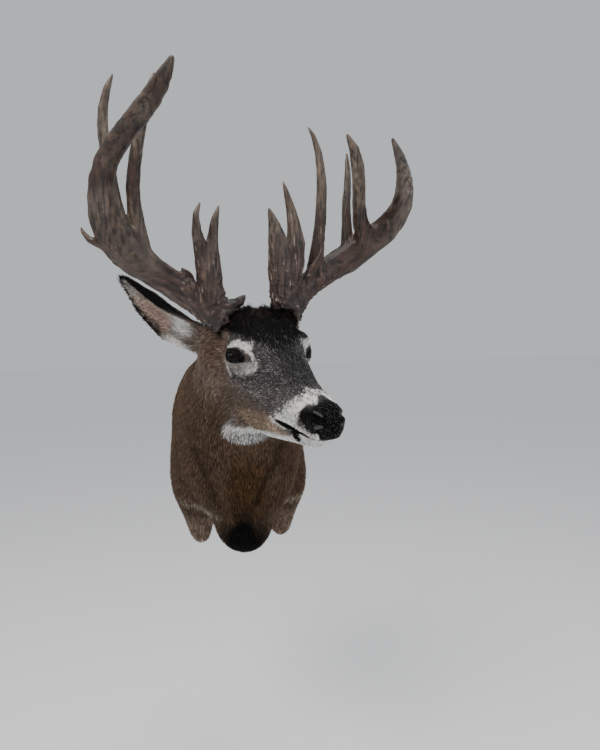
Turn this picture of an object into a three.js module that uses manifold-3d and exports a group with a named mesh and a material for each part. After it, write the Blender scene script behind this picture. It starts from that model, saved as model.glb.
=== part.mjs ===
// Whitetail buck shoulder mount: head turned a little to its left, large dark antlers, ears laid
// back, the neck and chest cut off behind the shoulders and backed by a board that hangs flat on
// a wall.
//
// Millimetres. +X runs to the deer's left, +Y into the wall, +Z up. The origin is on the back of
// the board, at its centre. The flesh solids reach out to the tips of the coat.

import * as THREE from 'three';
import { mergeVertices } from 'three/addons/utils/BufferGeometryUtils.js';
import Module from 'manifold-3d';

const wasm = await Module();
wasm.setup();

// ---------------------------------------------------------------- driving dimensions

const GAP = 0.3; // clearance between neighbouring solids

const HEAD_PLACE = new THREE.Vector3(8, -446, 201); // point midway between the eyes
const HEAD_YAW = 11.1; // degrees, towards the deer's left
const HEAD_PITCH = 8.4; // degrees, nose down
const HEAD_ROLL = 1.9; // degrees, right side down

const EYE_RADIUS = 18;
const EYE_PLACE = [-11, 59, 0]; // eyeball's middle in the head: forward, out, up
const GAZE = 58; // degrees from straight ahead out to the side that the eye faces

const EAR_THICKNESS = 6;
const PEDICLE_RADIUS = 25;
const BURR_RADIUS = 30;
const BURR_HEIGHT = 15;

const BOARD_THICKNESS = 18;
const BOARD_INSET = 16; // width of the hide that wraps the form's edge round the board
const HIDE_SETBACK = 1; // the hide's back edge stays this far off the wall

const BODY_SIDES = 22;
const HEAD_SIDES = 18;
const SHOULDER_SIDES = 12;
const BRANCH_SIDES = 8;
const BURR_SIDES = 10;
const EAR_HALF_STEPS = 5;

// how far a branch's corners stand out so that its flats enclose the whole of its oval section
const CORNER_REACH = Math.sqrt((2 * Math.PI) / (BRANCH_SIDES * Math.sin((2 * Math.PI) / BRANCH_SIDES)));

// Trunk and neck, from the wall forward and up into the skull. Each station is a closed section
// between a point on the back line and one on the chest line.
// back y, back z, chest y, chest z, half width, middle x, height of the widest place (share from
// the chest line), squareness above it, squareness below it
const BODY_STATIONS = [
  [20, 204, 20, -158, 139, 0, 0.4, 2.6, 1.9],
  [-40, 211, -45, -163, 141, -1, 0.39, 2.6, 1.8],
  [-95, 219, -125, -172, 139, -4, 0.39, 2.6, 1.7],
  [-140, 227, -205, -182, 134, -8, 0.4, 2.6, 1.6],
  [-180, 235, -275, -172, 126, -12, 0.43, 2.5, 1.6],
  [-215, 243, -320, -138, 120, -14, 0.46, 2.4, 1.7],
  [-250, 251, -342, -88, 112, -15, 0.48, 2.4, 1.8],
  [-285, 259, -354, -34, 106, -16, 0.5, 2.4, 2],
  [-316, 267, -363, 14, 99, -16, 0.52, 2.3, 2],
  [-346, 274, -374, 56, 91, -16, 0.54, 2.3, 2],
  [-376, 274, -396, 92, 80, -14, 0.55, 2.3, 2],
];

// Shoulder and cut-off foreleg, from the top of the shoulder down to the end of the stump.
// height z, distance out from the middle, middle y, half width, half depth
const SHOULDER_STATIONS = [
  [122, 88, -92, 14, 30],
  [104, 90, -94, 33, 66],
  [62, 95, -98, 43, 96],
  [0, 99, -106, 50, 116],
  [-58, 100, -116, 53, 122],
  [-96, 99, -124, 50, 108],
  [-126, 95, -132, 42, 82],
  [-150, 91, -138, 35, 60],
  [-178, 88, -141, 29, 45],
  [-198, 87, -143, 22, 33],
  [-209, 86, -143, 11, 17],
];
const CHEST_MIDDLE_X = -3;
const BRISKET = { place: [-13, -232, -128], radii: [66, 92, 78] };
const SHOULDER_CUT_OUT = 62; // the cut between chest and shoulder, measured at the wall
const SHOULDER_CUT_TURN = 4; // degrees, opening out towards the front
const LEG_CUT_HEIGHT = -148;

// Skull, face and upper jaw in the head's own frame: x forward, y to the deer's left, z up, from
// the point between the eyes.
// forward, crown, underside, half width, height of the widest place (share from the underside),
// squareness above it, squareness below it
const FACE_STATIONS = [
  [214, -62, -79, 10, 0.5, 2.2, 2.2],
  [210, -51, -90, 22, 0.5, 2.3, 2.2],
  [200, -41, -97, 29, 0.5, 2.4, 2.3],
  [184, -34, -98, 31, 0.45, 2.3, 2.2],
  [160, -26, -95, 32, 0.42, 2.1, 2.1],
  [130, -14, -92, 33, 0.42, 2, 2.1],
  [100, -1, -94, 38, 0.48, 2.1, 2],
  [70, 10, -104, 45, 0.56, 2.2, 1.9],
  [40, 23, -116, 51, 0.62, 2.5, 1.9],
  [12, 42, -124, 57, 0.66, 2.7, 1.9],
  [-20, 60, -127, 68, 0.66, 2.7, 1.9],
  [-50, 72, -125, 71, 0.6, 2.6, 1.9],
  [-85, 74, -119, 73, 0.57, 2.5, 1.9],
  [-120, 67, -110, 75, 0.56, 2.3, 2],
];

// Lower jaw, in the same frame and columns. Its upper part is sunk in the face.
const JAW_STATIONS = [
  [182, -94, -104, 10, 0.5, 2, 2],
  [176, -86, -111, 20, 0.6, 2.2, 2],
  [158, -80, -117, 25, 0.6, 2.2, 2.2],
  [130, -76, -121, 26, 0.6, 2.2, 2.3],
  [100, -74, -126, 29, 0.6, 2.2, 2.4],
  [65, -74, -132, 34, 0.6, 2.2, 2.6],
  [30, -76, -137, 39, 0.6, 2.2, 2.6],
  [-5, -80, -138, 43, 0.6, 2.2, 2.6],
  [-40, -90, -130, 45, 0.6, 2.2, 2.4],
];

// Cuts that part the head, each through two points given as forward and up.
const MOUTH_LINE = [102, -83, 196, -93.5];
const JAW_LINE = [-10, -124, 102, -83];
const NOSE_LINE = [183, -20, 196, -110];
const NAPE_LINE = [-112, 90, -40, -134];
const CHEST_LINE = { back: [-165, 212], front: [-352, -70] }; // y and z, chest from neck

// rounded masses and hollows; `turn` is degrees from straight ahead out to the side
const BROW = { place: [-16, 51, 13], radii: [41, 25, 27], turn: 0 };
const EYE_OPENING = { place: [4.5, 77.5, 2], radii: [18, 20, 12], turn: GAZE };
const EAR_BASE = { place: [-102, 56, -16], radii: [48, 50, 58], turn: 0 };
const PEDICLE_FOOT = [-52, 40, 20]; // inside the skull, its own side positive

// Ears in the head's frame: forward, out to its own side, up. The opening faces along `mouth`.
const EARS = {
  right: { root: [-88, 60, -2], tip: [-212, 210, 122], mouth: [0.42, 0.78, -0.44] },
  left: { root: [-86, 66, 6], tip: [-226, 148, 112], mouth: [0.4, 0.86, -0.32] },
};
// share of the length from the root, half width, depth of the cup
const EAR_STATIONS = [
  [0, 31, 0],
  [0.14, 38, 4],
  [0.28, 44, 18],
  [0.45, 48, 24],
  [0.62, 45, 20],
  [0.78, 34, 13],
  [0.9, 21, 7],
  [0.97, 12, 3],
  [1, 5, 1],
];
const EAR_CUT = 0.25; // share of the length where the ear is parted from the head

// Antlers in the head's frame. A branch's points are forward, out to its own side, up, width
// across the branch and thickness front to back. `cut` is the share of a branch's length at
// which it is parted from the beam.
const ANTLERS = {
  right: {
    burr: [-70, 62, 60],
    beam: [
      [-64, 60, 50, 50, 48],
      [-77, 88, 76, 52, 48],
      [-97, 145, 114, 47, 42],
      [-102, 183, 141, 52, 38],
      [-98, 222, 173, 62, 36],
      [-82, 249, 212, 54, 36],
      [-57, 260, 258, 41, 36],
      [-25, 255, 298, 36, 34],
      [15, 234, 335, 31, 32],
      [60, 214, 363, 31, 28],
      [105, 202, 388, 22, 22],
      [148, 201, 403, 8, 8],
    ],
    beamCut: 0.5,
    stubs: [
      [[-62, 72, 74, 40, 30], [-57, 52, 80, 18, 18], [-53, 37, 88, 17, 15], [-51, 31, 96, 8, 8]],
      [[-88, 112, 112, 18, 14], [-91, 118, 131, 13, 10], [-94, 131, 143, 5, 5]],
    ],
    tines: {
      brow: {
        cut: 0.3,
        branches: [
          [[-68, 84, 84, 46, 36], [-62, 93, 131, 41, 30], [-56, 105, 172, 26, 22],
            [-50, 117, 219, 14, 15], [-48, 110, 243, 8, 9], [-48, 105, 256, 3, 3]],
          [[-66, 80, 96, 34, 30], [-62, 83, 131, 30, 28], [-62, 84, 172, 22, 22],
            [-62, 83, 208, 18, 17], [-60, 74, 238, 9, 9], [-58, 71, 251, 3, 3]],
        ],
      },
      second: {
        cut: 0.24,
        branches: [
          [[-98, 190, 150, 34, 26], [-110, 198, 218, 26, 25], [-112, 202, 265, 24, 24],
            [-102, 193, 341, 21, 22], [-86, 177, 414, 15, 16], [-78, 168, 445, 4, 4]],
        ],
      },
      third: {
        cut: 0.22,
        branches: [
          [[-98, 224, 176, 34, 24], [-108, 230, 240, 22, 24], [-114, 240, 310, 21, 21],
            [-112, 245, 371, 18, 18], [-108, 240, 405, 15, 15], [-100, 226, 441, 4, 4]],
        ],
      },
      kicker: {
        cut: 0.42,
        branches: [
          [[-90, 244, 180, 24, 16], [-98, 268, 180, 14, 12], [-106, 282, 194, 9, 9],
            [-110, 289, 212, 3, 3]],
        ],
      },
    },
  },
  left: {
    burr: [-70, 60, 66],
    beam: [
      [-64, 56, 58, 44, 44],
      [-78, 86, 95, 43, 44],
      [-95, 149, 136, 50, 42],
      [-98, 195, 159, 56, 40],
      [-92, 235, 188, 55, 38],
      [-75, 266, 216, 53, 36],
      [-45, 276, 251, 49, 34],
      [-10, 259, 283, 36, 30],
      [30, 227, 311, 26, 24],
      [65, 193, 329, 18, 17],
      [105, 152, 345, 7, 7],
    ],
    beamCut: 0.56,
    stubs: [
      [[-74, 84, 100, 22, 18], [-66, 108, 142, 16, 12], [-60, 119, 168, 9, 8],
        [-58, 123, 187, 3, 3]],
    ],
    tines: {
      brow: {
        cut: 0.22,
        branches: [
          [[-64, 50, 72, 48, 36], [-58, 40, 131, 48, 26], [-54, 34, 174, 43, 22],
            [-50, 26, 205, 30, 18], [-45, 15, 229, 15, 12], [-40, 6, 248, 3, 3]],
          [[-64, 58, 100, 38, 28], [-64, 65, 140, 41, 25], [-67, 73, 183, 37, 22],
            [-72, 66, 235, 21, 18], [-76, 58, 268, 13, 13], [-80, 49, 300, 3, 3]],
        ],
      },
      second: {
        cut: 0.2,
        branches: [
          [[-86, 118, 112, 34, 28], [-84, 124, 175, 26, 24], [-84, 129, 220, 22, 22],
            [-85, 131, 285, 20, 20], [-88, 124, 347, 14, 15], [-90, 112, 378, 9, 10],
            [-90, 97, 397, 3, 3]],
        ],
      },
      third: {
        cut: 0.32,
        branches: [
          [[-90, 236, 178, 46, 30], [-72, 205, 240, 29, 26], [-60, 195, 283, 25, 25],
            [-50, 186, 316, 27, 24], [-42, 172, 348, 21, 18], [-36, 151, 374, 6, 6]],
        ],
      },
      rear: {
        cut: 0.3,
        branches: [
          [[-96, 198, 152, 34, 24], [-108, 200, 213, 22, 20], [-118, 202, 260, 18, 17],
            [-126, 209, 307, 16, 14], [-134, 209, 358, 7, 6]],
        ],
      },
    },
  },
};

const COLOURS = {
  coat: 0x5a4838,
  face: 0x55504c,
  ear: 0x4a443f,
  nose: 0x161414,
  eye: 0x0b0908,
  antler: 0x3f2f27,
  board: 0xb08d5c,
};

// ---------------------------------------------------------------- solids from loops

const SIDE = { right: -1, left: 1 };
const ALONG_X = new THREE.Vector3(1, 0, 0);
const ALONG_Y = new THREE.Vector3(0, 1, 0);
const ALONG_Z = new THREE.Vector3(0, 0, 1);

/** A closed geometry as a solid that can be joined and cut. */
function solidOf(geometry) {
  for (const name of ['normal', 'uv']) geometry.deleteAttribute(name);
  const merged = mergeVertices(geometry, 1e-4);
  return new wasm.Manifold(new wasm.Mesh({
    numProp: 3,
    vertProperties: new Float32Array(merged.getAttribute('position').array),
    triVerts: new Uint32Array(merged.getIndex().array),
  }));
}

function geometryOf(solid) {
  const mesh = solid.getMesh();
  const geometry = new THREE.BufferGeometry();
  geometry.setAttribute('position', new THREE.BufferAttribute(mesh.vertProperties, 3));
  geometry.setIndex(new THREE.BufferAttribute(mesh.triVerts, 1));
  geometry.computeVertexNormals();
  return geometry;
}

/** Skin over closed loops of points, from the first loop to the last, with both ends filled. */
function loft(loops, firstApex, lastApex) {
  const sides = loops[0].length;
  const points = [...loops.flat(), firstApex ?? middleOf(loops[0])];
  points.push(lastApex ?? middleOf(loops.at(-1)));
  const index = [];
  for (let loop = 0; loop < loops.length - 1; loop += 1) {
    for (let side = 0; side < sides; side += 1) {
      const a = loop * sides + side;
      const b = loop * sides + ((side + 1) % sides);
      index.push(a, b, a + sides, b, b + sides, a + sides);
    }
  }
  const last = (loops.length - 1) * sides;
  for (let side = 0; side < sides; side += 1) {
    const next = (side + 1) % sides;
    index.push(points.length - 2, next, side);
    index.push(points.length - 1, last + side, last + next);
  }
  if (volumeOf(points, index) < 0) index.reverse();
  const geometry = new THREE.BufferGeometry().setFromPoints(points);
  geometry.setIndex(index);
  return solidOf(geometry);
}

function middleOf(points) {
  const sum = points.reduce((total, point) => total.add(point), new THREE.Vector3());
  return sum.divideScalar(points.length);
}

function volumeOf(points, index) {
  let volume = 0;
  for (let i = 0; i < index.length; i += 3) {
    const [a, b, c] = [points[index[i]], points[index[i + 1]], points[index[i + 2]]];
    volume += a.dot(new THREE.Vector3().crossVectors(b, c)) / 6;
  }
  return volume;
}

/** Rows between the given ones, every column following a smooth curve. */
function smoothRows(rows, count) {
  const columns = rows[0].map((_, column) => {
    const track = rows.map((row, i) => new THREE.Vector2(i, row[column]));
    return new THREE.SplineCurve(track);
  });
  return Array.from({ length: count }, (_, i) => {
    const share = i / (count - 1);
    return columns.map((curve) => curve.getPoint(share).y);
  });
}

/** A squared oval: how far out (-1 to 1) and how high (0 to 1) it is at an angle. */
function ovalPoint(angle, widest, squareAbove, squareBelow) {
  const square = Math.sin(angle) >= 0 ? squareAbove : squareBelow;
  const out = Math.sign(Math.cos(angle)) * Math.abs(Math.cos(angle)) ** (2 / square);
  const rise = Math.abs(Math.sin(angle)) ** (2 / square);
  const height = Math.sin(angle) >= 0 ? widest + (1 - widest) * rise : widest * (1 - rise);
  return { out, height };
}

function ovalLoop(sides, section, place) {
  return Array.from({ length: sides }, (_, i) => {
    const { out, height } = ovalPoint((i / sides) * 2 * Math.PI, ...section);
    return place(out, height);
  });
}

/** Half-space cut through a point. Keeps what lies on the side that `normal` points to. */
function keep(solid, point, normal, setback = GAP / 2) {
  const unit = normal.clone().normalize();
  return solid.trimByPlane(unit.toArray(), unit.dot(point) + setback);
}

function part(solid, point, normal) {
  return [keep(solid, point, normal), keep(solid, point, normal.clone().negate())];
}

function joined(solids) {
  return solids.reduce((whole, solid) => whole.add(solid));
}

// ---------------------------------------------------------------- the head's frame

/** Forward, left and up of the head as seen in the room, from its yaw, pitch and roll. */
function headFrame() {
  const yaw = THREE.MathUtils.degToRad(HEAD_YAW);
  const pitch = THREE.MathUtils.degToRad(HEAD_PITCH);
  const roll = THREE.MathUtils.degToRad(HEAD_ROLL);
  const forward = new THREE.Vector3(
    Math.sin(yaw) * Math.cos(pitch),
    -Math.cos(yaw) * Math.cos(pitch),
    -Math.sin(pitch),
  );
  const left = new THREE.Vector3(Math.cos(yaw), Math.sin(yaw), 0).applyAxisAngle(forward, roll);
  const up = new THREE.Vector3().crossVectors(forward, left);
  return new THREE.Matrix4().makeBasis(forward, left, up).setPosition(HEAD_PLACE);
}

const HEAD = headFrame();

/** A point of the head's frame in the part's frame. */
const inRoom = (forward, left, up) => new THREE.Vector3(forward, left, up).applyMatrix4(HEAD);

/** A cut in the head across its middle plane, through two points given as forward and up. */
function headCut([forwardA, upA, forwardB, upB]) {
  const a = inRoom(forwardA, 0, upA);
  const along = inRoom(forwardB, 0, upB).sub(a);
  const across = inRoom(0, 1, 0).sub(inRoom(0, 0, 0));
  return [a, along.cross(across)];
}

// ---------------------------------------------------------------- flesh

function bodySolid() {
  const rows = smoothRows(BODY_STATIONS, 13);
  return loft(rows.map(([backY, backZ, chestY, chestZ, half, middleX, ...section]) => {
    const back = new THREE.Vector3(middleX, backY, backZ);
    const chest = new THREE.Vector3(middleX, chestY, chestZ);
    return ovalLoop(BODY_SIDES, section, (out, height) => (
      chest.clone().lerp(back, height).addScaledVector(ALONG_X, out * half)
    ));
  }));
}

function shoulderSolid(side) {
  const rows = smoothRows(SHOULDER_STATIONS, 11);
  return loft(rows.map(([z, out, y, halfWidth, halfDepth]) => {
    const x = CHEST_MIDDLE_X + side * out;
    return Array.from({ length: SHOULDER_SIDES }, (_, i) => {
      const angle = (i / SHOULDER_SIDES) * 2 * Math.PI;
      return new THREE.Vector3(x + halfWidth * Math.cos(angle), y + halfDepth * Math.sin(angle), z);
    });
  }));
}

function skullSolid(stations, count) {
  const rows = smoothRows(stations, count);
  return loft(rows.map(([forward, crown, underside, half, ...section]) => (
    ovalLoop(HEAD_SIDES, section, (out, height) => (
      inRoom(forward, out * half, underside + height * (crown - underside))
    ))
  )));
}

/** A rounded mass or hollow of the head, on one side. */
function headLump(side, { place: [forward, out, up], radii, turn }) {
  const lump = new THREE.SphereGeometry(1, 10, 6);
  lump.rotateX(Math.PI / 2);
  lump.scale(...radii);
  lump.rotateZ(side * THREE.MathUtils.degToRad(turn));
  lump.translate(forward, side * out, up);
  return solidOf(lump.applyMatrix4(HEAD));
}

function brisketSolid() {
  const lobe = new THREE.SphereGeometry(1, 16, 9);
  lobe.rotateX(Math.PI / 2);
  lobe.scale(...BRISKET.radii);
  lobe.translate(...BRISKET.place);
  return solidOf(lobe);
}

function eyeSolid(side, grow = 0) {
  const eye = new THREE.SphereGeometry(EYE_RADIUS + grow, 12, 8);
  const [forward, out, up] = EYE_PLACE;
  eye.translate(forward, side * out, up);
  return solidOf(eye.applyMatrix4(HEAD));
}

/** An ear: a cupped blade, rolled into a tube at its root. Returns the ear and its own root. */
function earSolids(side, { root, tip, mouth }) {
  const place = ([forward, out, up]) => inRoom(forward, side * out, up);
  const start = place(root);
  const along = place(tip).sub(start);
  const length = along.length();
  along.normalize();
  const open = place(mouth).sub(place([0, 0, 0]));
  open.addScaledVector(along, -open.dot(along)).normalize();
  const across = new THREE.Vector3().crossVectors(along, open);
  const loops = smoothRows(EAR_STATIONS, 10).map(([share, half, cup]) => {
    const centre = start.clone().addScaledVector(along, share * length);
    const thick = Math.min(half * 0.8, EAR_THICKNESS + Math.max(0, 0.2 - share) * 160);
    const edge = (step, depth) => {
      const out = -Math.cos((step / (2 * EAR_HALF_STEPS)) * 2 * Math.PI);
      const sag = cup * (1 - out * out) + depth * Math.sqrt(1 - out * out * 0.96);
      return centre.clone().addScaledVector(across, out * half).addScaledVector(open, cup - sag);
    };
    const inner = Array.from({ length: EAR_HALF_STEPS + 1 }, (_, step) => edge(step, -thick / 2));
    const outer = Array.from({ length: EAR_HALF_STEPS + 1 }, (_, step) => edge(step, thick / 2));
    return [...inner, ...outer.reverse()];
  });
  const ear = loft(loops);
  return part(ear, start.clone().addScaledVector(along, EAR_CUT * length), along);
}

// ---------------------------------------------------------------- antlers

/** A branch swept along its middle line. `grow` swells it for the seat that it stands in. */
function branchSweep(side, rows, grow = 0) {
  const path = new THREE.CatmullRomCurve3(
    rows.map(([forward, out, up]) => inRoom(forward, side * out, up)), false, 'centripetal',
  );
  const steps = Math.max(4, Math.round(path.getLength() / 30));
  const sizes = smoothRows(rows.map((row) => row.slice(3)), 60);
  const depth = inRoom(1, 0, 0).sub(inRoom(0, 0, 0));
  const loops = Array.from({ length: steps + 1 }, (_, step) => {
    const t = path.getUtoTmapping(step / steps);
    const centre = path.getPoint(t);
    if (step === 0) centre.addScaledVector(path.getTangent(t), -grow);
    const across = path.getTangent(t).cross(depth).normalize();
    const through = path.getTangent(t).cross(across).normalize();
    const [width, thickness] = sizes[Math.round(t * (sizes.length - 1))];
    return Array.from({ length: BRANCH_SIDES }, (_, i) => {
      const angle = (i / BRANCH_SIDES) * 2 * Math.PI;
      return centre.clone()
        .addScaledVector(across, (CORNER_REACH * width / 2 + grow) * Math.cos(angle))
        .addScaledVector(through, (CORNER_REACH * thickness / 2 + grow) * Math.sin(angle));
    });
  });
  const tip = path.getPoint(1).addScaledVector(path.getTangent(1), rows.at(-1)[3] / 2 + grow);
  return { solid: loft(loops, undefined, tip), path };
}

/** The coronet of knobs at an antler's root, as one plain ring. */
function burrSolid(side, { burr, beam }, grow = 0) {
  const profile = [[0, -0.5], [0.86, -0.5], [1, 0], [0.8, 0.5], [0, 0.5]];
  const outline = profile.map(([radius, height]) => new THREE.Vector2(
    radius * (BURR_RADIUS + grow), height * (BURR_HEIGHT + 2 * grow),
  ));
  const ring = new THREE.LatheGeometry(outline, BURR_SIDES);
  const place = ([forward, out, up]) => inRoom(forward, side * out, up);
  const rise = place(beam[1]).sub(place(beam[0])).normalize();
  ring.applyQuaternion(new THREE.Quaternion().setFromUnitVectors(ALONG_Y, rise));
  ring.translate(...place(burr).toArray());
  return solidOf(ring);
}

function pedicleSolid(side, { burr }) {
  const place = ([forward, out, up]) => inRoom(forward, side * out, up);
  const foot = place(PEDICLE_FOOT);
  const head = place(burr);
  const height = foot.distanceTo(head);
  const post = new THREE.CylinderGeometry(PEDICLE_RADIUS, PEDICLE_RADIUS, height, 10);
  post.translate(0, height / 2, 0);
  const rise = head.clone().sub(foot).normalize();
  post.applyQuaternion(new THREE.Quaternion().setFromUnitVectors(ALONG_Y, rise));
  post.translate(...foot.toArray());
  return solidOf(post);
}

/** The lower parts of an antler, swollen by the clearance, as the tool for its seat. */
function seatSolid(side, antler) {
  const low = [antler.beam.slice(0, 4), ...antler.stubs, ...antler.tines.brow.branches];
  return joined([
    burrSolid(side, antler, GAP),
    ...low.map((rows) => branchSweep(side, rows, GAP).solid),
  ]);
}

/** One antler parted at its forks: its base, the upper beam and each free tine, by name. */
function antlerPieces(name, side, antler) {
  const pieces = {};
  const beam = branchSweep(side, antler.beam);
  const stubs = antler.stubs.map((rows) => branchSweep(side, rows).solid);
  const body = [beam.solid, burrSolid(side, antler), ...stubs];
  for (const [tineName, tine] of Object.entries(antler.tines)) {
    const sweeps = tine.branches.map((rows) => branchSweep(side, rows));
    const [{ path }] = sweeps;
    const whole = joined(sweeps.map((sweep) => sweep.solid));
    const [free, root] = part(whole, path.getPointAt(tine.cut), path.getTangentAt(tine.cut));
    pieces[`antler_${name}_${tineName}_tine`] = free;
    body.push(root);
  }
  const fork = beam.path.getPointAt(antler.beamCut);
  const [upper, lower] = part(joined(body), fork, beam.path.getTangentAt(antler.beamCut));
  pieces[`antler_${name}_base`] = lower;
  pieces[`antler_${name}_beam`] = upper;
  return pieces;
}

// ---------------------------------------------------------------- board

/** Outline of the trunk at the wall, pulled in all round, as a shape to extrude. */
function boardShape(inset) {
  const [, backZ, , chestZ, half, middleX, ...section] = BODY_STATIONS[0];
  const points = ovalLoop(BODY_SIDES, section, (out, height) => new THREE.Vector2(
    middleX + out * (half - inset),
    chestZ + inset + height * (backZ - chestZ - 2 * inset),
  ));
  return new THREE.Shape(points);
}

function boardSolid(inset, thickness) {
  const geometry = new THREE.ExtrudeGeometry(boardShape(inset), {
    depth: thickness,
    bevelEnabled: false,
  });
  geometry.rotateX(Math.PI / 2);
  return solidOf(geometry);
}

// ---------------------------------------------------------------- whole mount, then its cuts

function fleshPieces() {
  const sides = Object.entries(SIDE);
  const ears = Object.fromEntries(sides.map(([name, side]) => [name, earSolids(side, EARS[name])]));
  const seats = sides.flatMap(([name, side]) => [
    seatSolid(side, ANTLERS[name]),
    eyeSolid(side, GAP),
    headLump(side, EYE_OPENING),
  ]);
  let whole = joined([
    bodySolid(),
    brisketSolid(),
    skullSolid(FACE_STATIONS, 16),
    skullSolid(JAW_STATIONS, 8),
    ...sides.flatMap(([name, side]) => [
      shoulderSolid(side),
      headLump(side, BROW),
      headLump(side, EAR_BASE),
      pedicleSolid(side, ANTLERS[name]),
      ears[name][1],
    ]),
  ]);
  whole = whole.subtract(joined(seats));
  whole = keep(whole, new THREE.Vector3(0, -HIDE_SETBACK, 0), ALONG_Y.clone().negate(), 0);
  whole = whole.subtract(boardSolid(BOARD_INSET - GAP, BOARD_THICKNESS + GAP));

  const pieces = { ear_right: ears.right[0], ear_left: ears.left[0] };
  const [skull, trunk] = part(whole, ...headCut(NAPE_LINE));
  const [upperFace, belowMouth] = part(skull, ...headCut(MOUTH_LINE));
  const [cheeks] = part(skull, ...headCut(JAW_LINE));
  [, pieces.lower_jaw] = part(belowMouth, ...headCut(JAW_LINE));
  [pieces.nose, pieces.head] = part(upperFace.add(cheeks), ...headCut(NOSE_LINE));

  const { back, front } = CHEST_LINE;
  const slope = new THREE.Vector3(0, front[0] - back[0], front[1] - back[1]);
  const [neck, chest] = part(
    trunk, new THREE.Vector3(0, ...back), slope.cross(ALONG_X),
  );
  pieces.neck = neck;
  let middle = chest;
  for (const [name, side] of sides) {
    const turn = THREE.MathUtils.degToRad(SHOULDER_CUT_TURN) * side;
    const outward = new THREE.Vector3(side, 0, 0).applyAxisAngle(ALONG_Z, turn);
    const corner = new THREE.Vector3(CHEST_MIDDLE_X + side * SHOULDER_CUT_OUT, 0, 0);
    const [shoulder, rest] = part(middle, corner, outward);
    middle = rest;
    const kneeHigh = new THREE.Vector3(0, 0, LEG_CUT_HEIGHT);
    [pieces[`shoulder_${name}`], pieces[`leg_${name}`]] = part(shoulder, kneeHigh, ALONG_Z);
  }
  pieces.chest = middle;
  return pieces;
}

function meshOf(name, solid, colour, roughness) {
  const material = new THREE.MeshStandardMaterial({ color: colour, roughness, metalness: 0 });
  const mesh = new THREE.Mesh(geometryOf(solid), material);
  mesh.name = name;
  return mesh;
}

function coatColour(name) {
  if (name === 'nose') return COLOURS.nose;
  if (name.startsWith('ear')) return COLOURS.ear;
  return name === 'head' || name === 'lower_jaw' ? COLOURS.face : COLOURS.coat;
}

const mount = new THREE.Group();
for (const [name, solid] of Object.entries(fleshPieces())) {
  mount.add(meshOf(name, solid, coatColour(name), 0.9));
}
for (const [name, side] of Object.entries(SIDE)) {
  mount.add(meshOf(`eye_${name}`, eyeSolid(side), COLOURS.eye, 0.05));
  for (const [piece, solid] of Object.entries(antlerPieces(name, side, ANTLERS[name]))) {
    mount.add(meshOf(piece, solid, COLOURS.antler, 0.5));
  }
}
mount.add(meshOf('backboard', boardSolid(BOARD_INSET, BOARD_THICKNESS), COLOURS.board, 0.7));

export default mount;
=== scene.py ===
"""Looks of the whitetail buck shoulder mount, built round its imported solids.

One skin takes the place of the flesh: a smoothed level set of the solids, set in by the depth of
the coat, with lids, nostrils, lips and folds worked into it. Thin mesh tufts lie over it along
the lie of the hair. The antlers, eyes and back board stay pieces of their own.

Measures are millimetres, and meshes are in metres. On the head, f, l and u are forward, left and
up from between the eyes, and out is l without its sign. On the trunk, x is the deer's left,
y runs into the wall and z up. The numbers that ramp, fall and bell are given are places on the
body: where a marking or a form begins and ends.
"""
import math
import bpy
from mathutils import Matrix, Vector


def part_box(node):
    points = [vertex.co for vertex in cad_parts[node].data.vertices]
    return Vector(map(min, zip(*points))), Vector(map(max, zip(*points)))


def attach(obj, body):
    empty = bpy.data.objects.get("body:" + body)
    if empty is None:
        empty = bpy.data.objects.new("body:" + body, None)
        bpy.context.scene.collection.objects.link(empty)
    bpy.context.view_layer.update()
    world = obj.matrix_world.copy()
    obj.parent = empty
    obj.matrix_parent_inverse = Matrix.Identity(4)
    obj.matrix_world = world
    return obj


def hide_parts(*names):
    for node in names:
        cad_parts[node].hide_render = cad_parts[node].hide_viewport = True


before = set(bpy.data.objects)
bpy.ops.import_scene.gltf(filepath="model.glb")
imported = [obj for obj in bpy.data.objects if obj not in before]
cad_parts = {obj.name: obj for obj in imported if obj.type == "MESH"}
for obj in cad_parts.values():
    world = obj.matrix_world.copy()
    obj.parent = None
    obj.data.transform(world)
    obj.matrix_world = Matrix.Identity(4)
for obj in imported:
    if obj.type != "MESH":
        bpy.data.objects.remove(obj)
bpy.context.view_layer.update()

from types import SimpleNamespace

import bmesh
import bpy
import numpy as np
import openvdb
from mathutils import Euler, Matrix, Vector

RNG = np.random.default_rng(20)
MM = 0.001
FAR = 99.0
SIDES = {"right": -1, "left": 1}  # sign of l

# ------------------------------------------------------------------ frames and small helpers

HEAD_PLACE = np.array((8.0, -446.0, 201.0))
HEAD_TURNS = (11.1, 8.4, 1.9)  # yaw, pitch, roll in degrees
CORNERS = np.array([[(corner >> k) & 1 for k in range(3)] for corner in range(8)])


def head_axes():
    """Rows: the head's forward, left and up as seen in the room."""
    yaw, pitch, roll = np.radians(HEAD_TURNS)
    forward = np.array((math.sin(yaw) * math.cos(pitch), -math.cos(yaw) * math.cos(pitch),
                        -math.sin(pitch)))
    level = np.array((math.cos(yaw), math.sin(yaw), 0.0))
    lift = np.cross(forward, level)
    left = level * math.cos(roll) + lift * math.sin(roll)
    return np.array((forward, left, np.cross(forward, left)))


AXES = head_axes()


def to_head(points):
    """Room metres to head millimetres."""
    return (points / MM - HEAD_PLACE) @ AXES.T


def to_room(points):
    """Head millimetres to room metres."""
    return (np.asarray(points, float) @ AXES + HEAD_PLACE) * MM


def folded(head):
    """f, out and u of points on the head."""
    return head[..., 0], np.abs(head[..., 1]), head[..., 2]


def ramp(x, low, high):
    """0 below low, 1 above high and smooth between."""
    t = np.clip((x - low) / (high - low), 0, 1)
    return t * t * (3 - 2 * t)


def fall(x, low, high):
    """1 below low, 0 above high and smooth between."""
    return ramp(-x, -high, -low)


def bell(*shares):
    """1 where all shares are 0, about a third at 1 and almost 0 from 2 on."""
    return np.exp(-sum(s * s for s in shares))


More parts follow.
